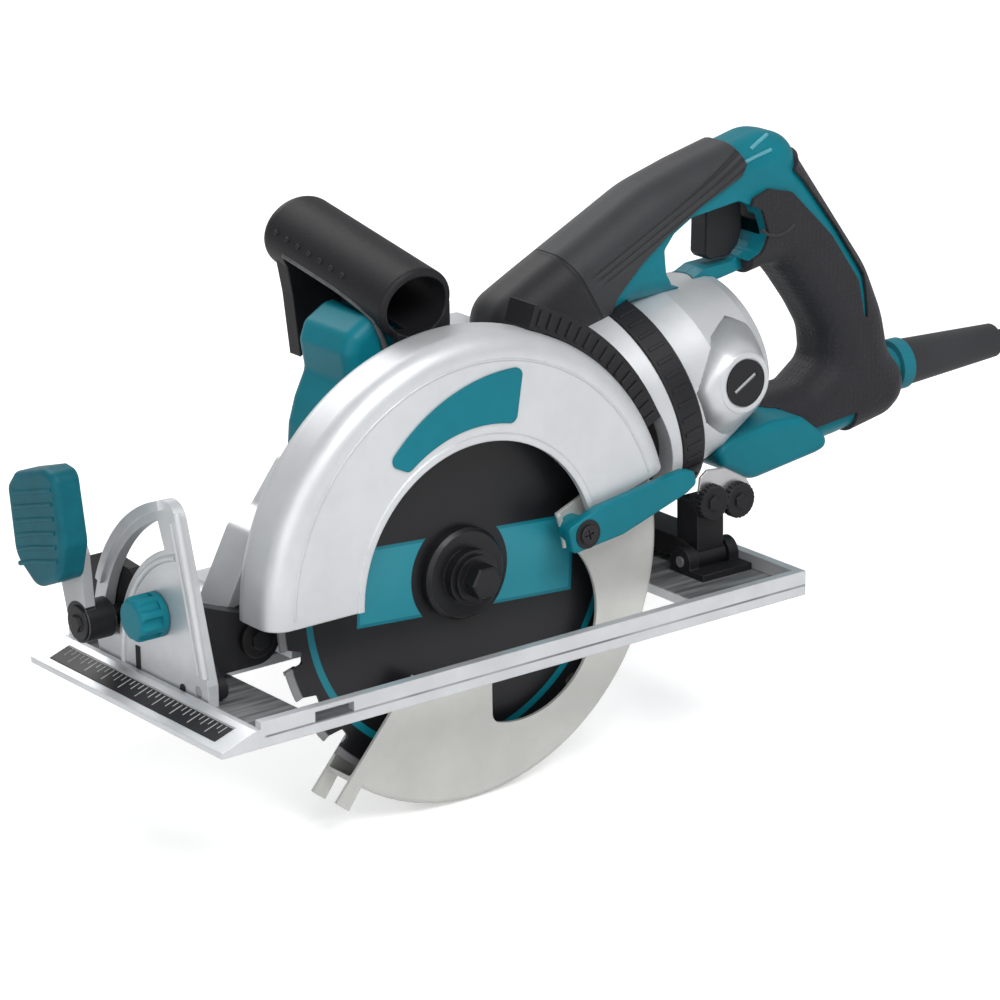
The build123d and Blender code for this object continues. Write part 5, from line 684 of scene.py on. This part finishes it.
# Head of the depth pivot, and the clamp's hub cap
pivot_axes = axes((-92, 15.7, 20), (1, 0, 0), (0, 0, 1))
hub_axes = axes((-145.8, *BEVEL_BOLT), (0, 0, 1), (0, 1, 0))
form = bmesh.new()
button(form, 8.4, 2.6, pivot_axes, 0.8)
button(form, 4.6, 4.2, pivot_axes, 0.5, sides=6)
piece("pivot_head", form, "tilt_frame", casting)
form = bmesh.new()
button(form, 7.6, 1.2, hub_axes, 0.5)
button(form, 3.8, 2.6, hub_axes, 0.4, sides=6)
piece("clamp_hub_cap", form, "bevel_lever", black)

# Thumb pad: ribs across its face, in the pad's teal darkened as painted shade
PAD_FACE_X = -157.6
RIB_STEP = 6
form = bmesh.new()
for k in range(6):
    ends = [(PAD_FACE_X, BEVEL_BOLT[0] + 27.5 - 0.5 * k, BEVEL_BOLT[1] + 52 - RIB_STEP * k),
            (PAD_FACE_X, BEVEL_BOLT[0] + 13, BEVEL_BOLT[1] + 56 - RIB_STEP * k),
            (PAD_FACE_X, BEVEL_BOLT[0] - 2.5 - 0.5 * k, BEVEL_BOLT[1] + 60.5 - RIB_STEP * k)]
    rod(form, ends, 1.1)
piece("pad_ribs", form, "bevel_lever", pad_teal_painted_shade)

# Rear tower: bright plate behind its two wheels, then the wheels' knurled rims and centres
PLATE_Y = -5.4
PLATE_T = 1.4
PLATE_RIM = [(125, 34), (127, 48), (131, 51), (141, 50), (153, 43), (156, 38), (153, 31), (140, 29)]
form = bmesh.new()
plate_face = form.faces.new([form.verts.new((x, PLATE_Y, z)) for x, z in PLATE_RIM])
grown = bmesh.ops.extrude_face_region(form, geom=[plate_face])["geom"]
bmesh.ops.translate(form, vec=(0, PLATE_T, 0),
                    verts=[part for part in grown if isinstance(part, bmesh.types.BMVert)])
bmesh.ops.bevel(form, geom=form.edges, offset=0.4, segments=2, profile=0.5, affect="EDGES", material=-1)
piece("tower_plate", form, "tilt_frame", steel)
WHEELS = [(132.0, 36.5), (147.0, 34.5)]
WHEEL_R = 7.5
WHEEL_Y = -6.5
WHEEL_FACE_Y = -9
form = bmesh.new()
for x, z in WHEELS:
    for turn in range(0, 360, 15):
        a = math.radians(turn)
        out = Vector((math.cos(a), 0, math.sin(a)))
        knurl_at = Vector((x, WHEEL_Y, z)) + out * WHEEL_R
        block(form, (1.0, 1.1, 4.4), axes(knurl_at, out, out.cross(ACROSS)), 0.25)
    button(form, 3.6, 1.0, axes((x, WHEEL_FACE_Y, z), (1, 0, 0), (0, 0, 1)), 0.3, sides=6)
piece("wheel_knurls", form, "tilt_frame", casting)

# Floor and light
FLOOR_Z = -67.2 * MM
FLOOR_HALF = 8
FLOOR_LIFT = 0.4
WORLD_LIGHT = 0.42
floor_mesh = bpy.data.meshes.new("floor")
floor_form = bmesh.new()
bmesh.ops.create_grid(floor_form, x_segments=1, y_segments=1, size=FLOOR_HALF)
bmesh.ops.translate(floor_form, verts=floor_form.verts, vec=(0, 0, FLOOR_Z))
floor_form.to_mesh(floor_mesh)
floor_form.free()
floor = bpy.data.objects.new("floor", floor_mesh)
scene.collection.objects.link(floor)
floor_paint = bpy.data.materials.new("pale_floor")
floor_paint.use_nodes = True


def seen_share(tree):
    """1 for rays from the camera and for refracted ones."""
    path = put(tree, "LightPath")
    return sums(tree, "MAXIMUM", path.outputs["Is Camera Ray"], path.outputs["Is Transmission Ray"])


floor_tree = floor_paint.node_tree
floor_shader = floor_tree.nodes["Principled BSDF"]
floor_shader.inputs["Base Color"].default_value = (0.9, 0.9, 0.9, 1)
floor_shader.inputs["Roughness"].default_value = 0.9
floor_shader.inputs["Emission Color"].default_value = (1, 1, 1, 1)
floor_tree.links.new(sums(floor_tree, "MULTIPLY", seen_share(floor_tree), FLOOR_LIFT),
                     floor_shader.inputs["Emission Strength"])
floor_mesh.materials.append(floor_paint)


def lamp(name, place, aim, size, power):
    """Round soft light at a place, turned to an aim."""
    data = bpy.data.lights.new(name, "AREA")
    data.shape = "DISK"
    data.size = size
    data.energy = power
    light = bpy.data.objects.new(name, data)
    scene.collection.objects.link(light)
    light.location = place
    light.rotation_euler = (Vector(place) - Vector(aim)).to_track_quat("Z", "Y").to_euler()


CENTRE = (0.06, 0.02, 0.06)
lamp("key_light", (-0.15, -1.45, 1.8), CENTRE, 1.3, 32)
lamp("fill_light", (-1.6, -1.0, 0.8), CENTRE, 1.6, 9)
lamp("back_light", (0.2, 1.7, 1.4), CENTRE, 1.4, 15)

world = bpy.data.worlds.new("studio")
scene.world = world
world.use_nodes = True
sky = world.node_tree.nodes["Background"]
sky.inputs["Color"].default_value = (1, 1, 1, 1)
world_tree = world.node_tree
world_tree.links.new(sums(world_tree, "MULTIPLY_ADD", seen_share(world_tree), 1 - WORLD_LIGHT, WORLD_LIGHT),
                     sky.inputs["Strength"])
scene.view_settings.view_transform = "Standard"
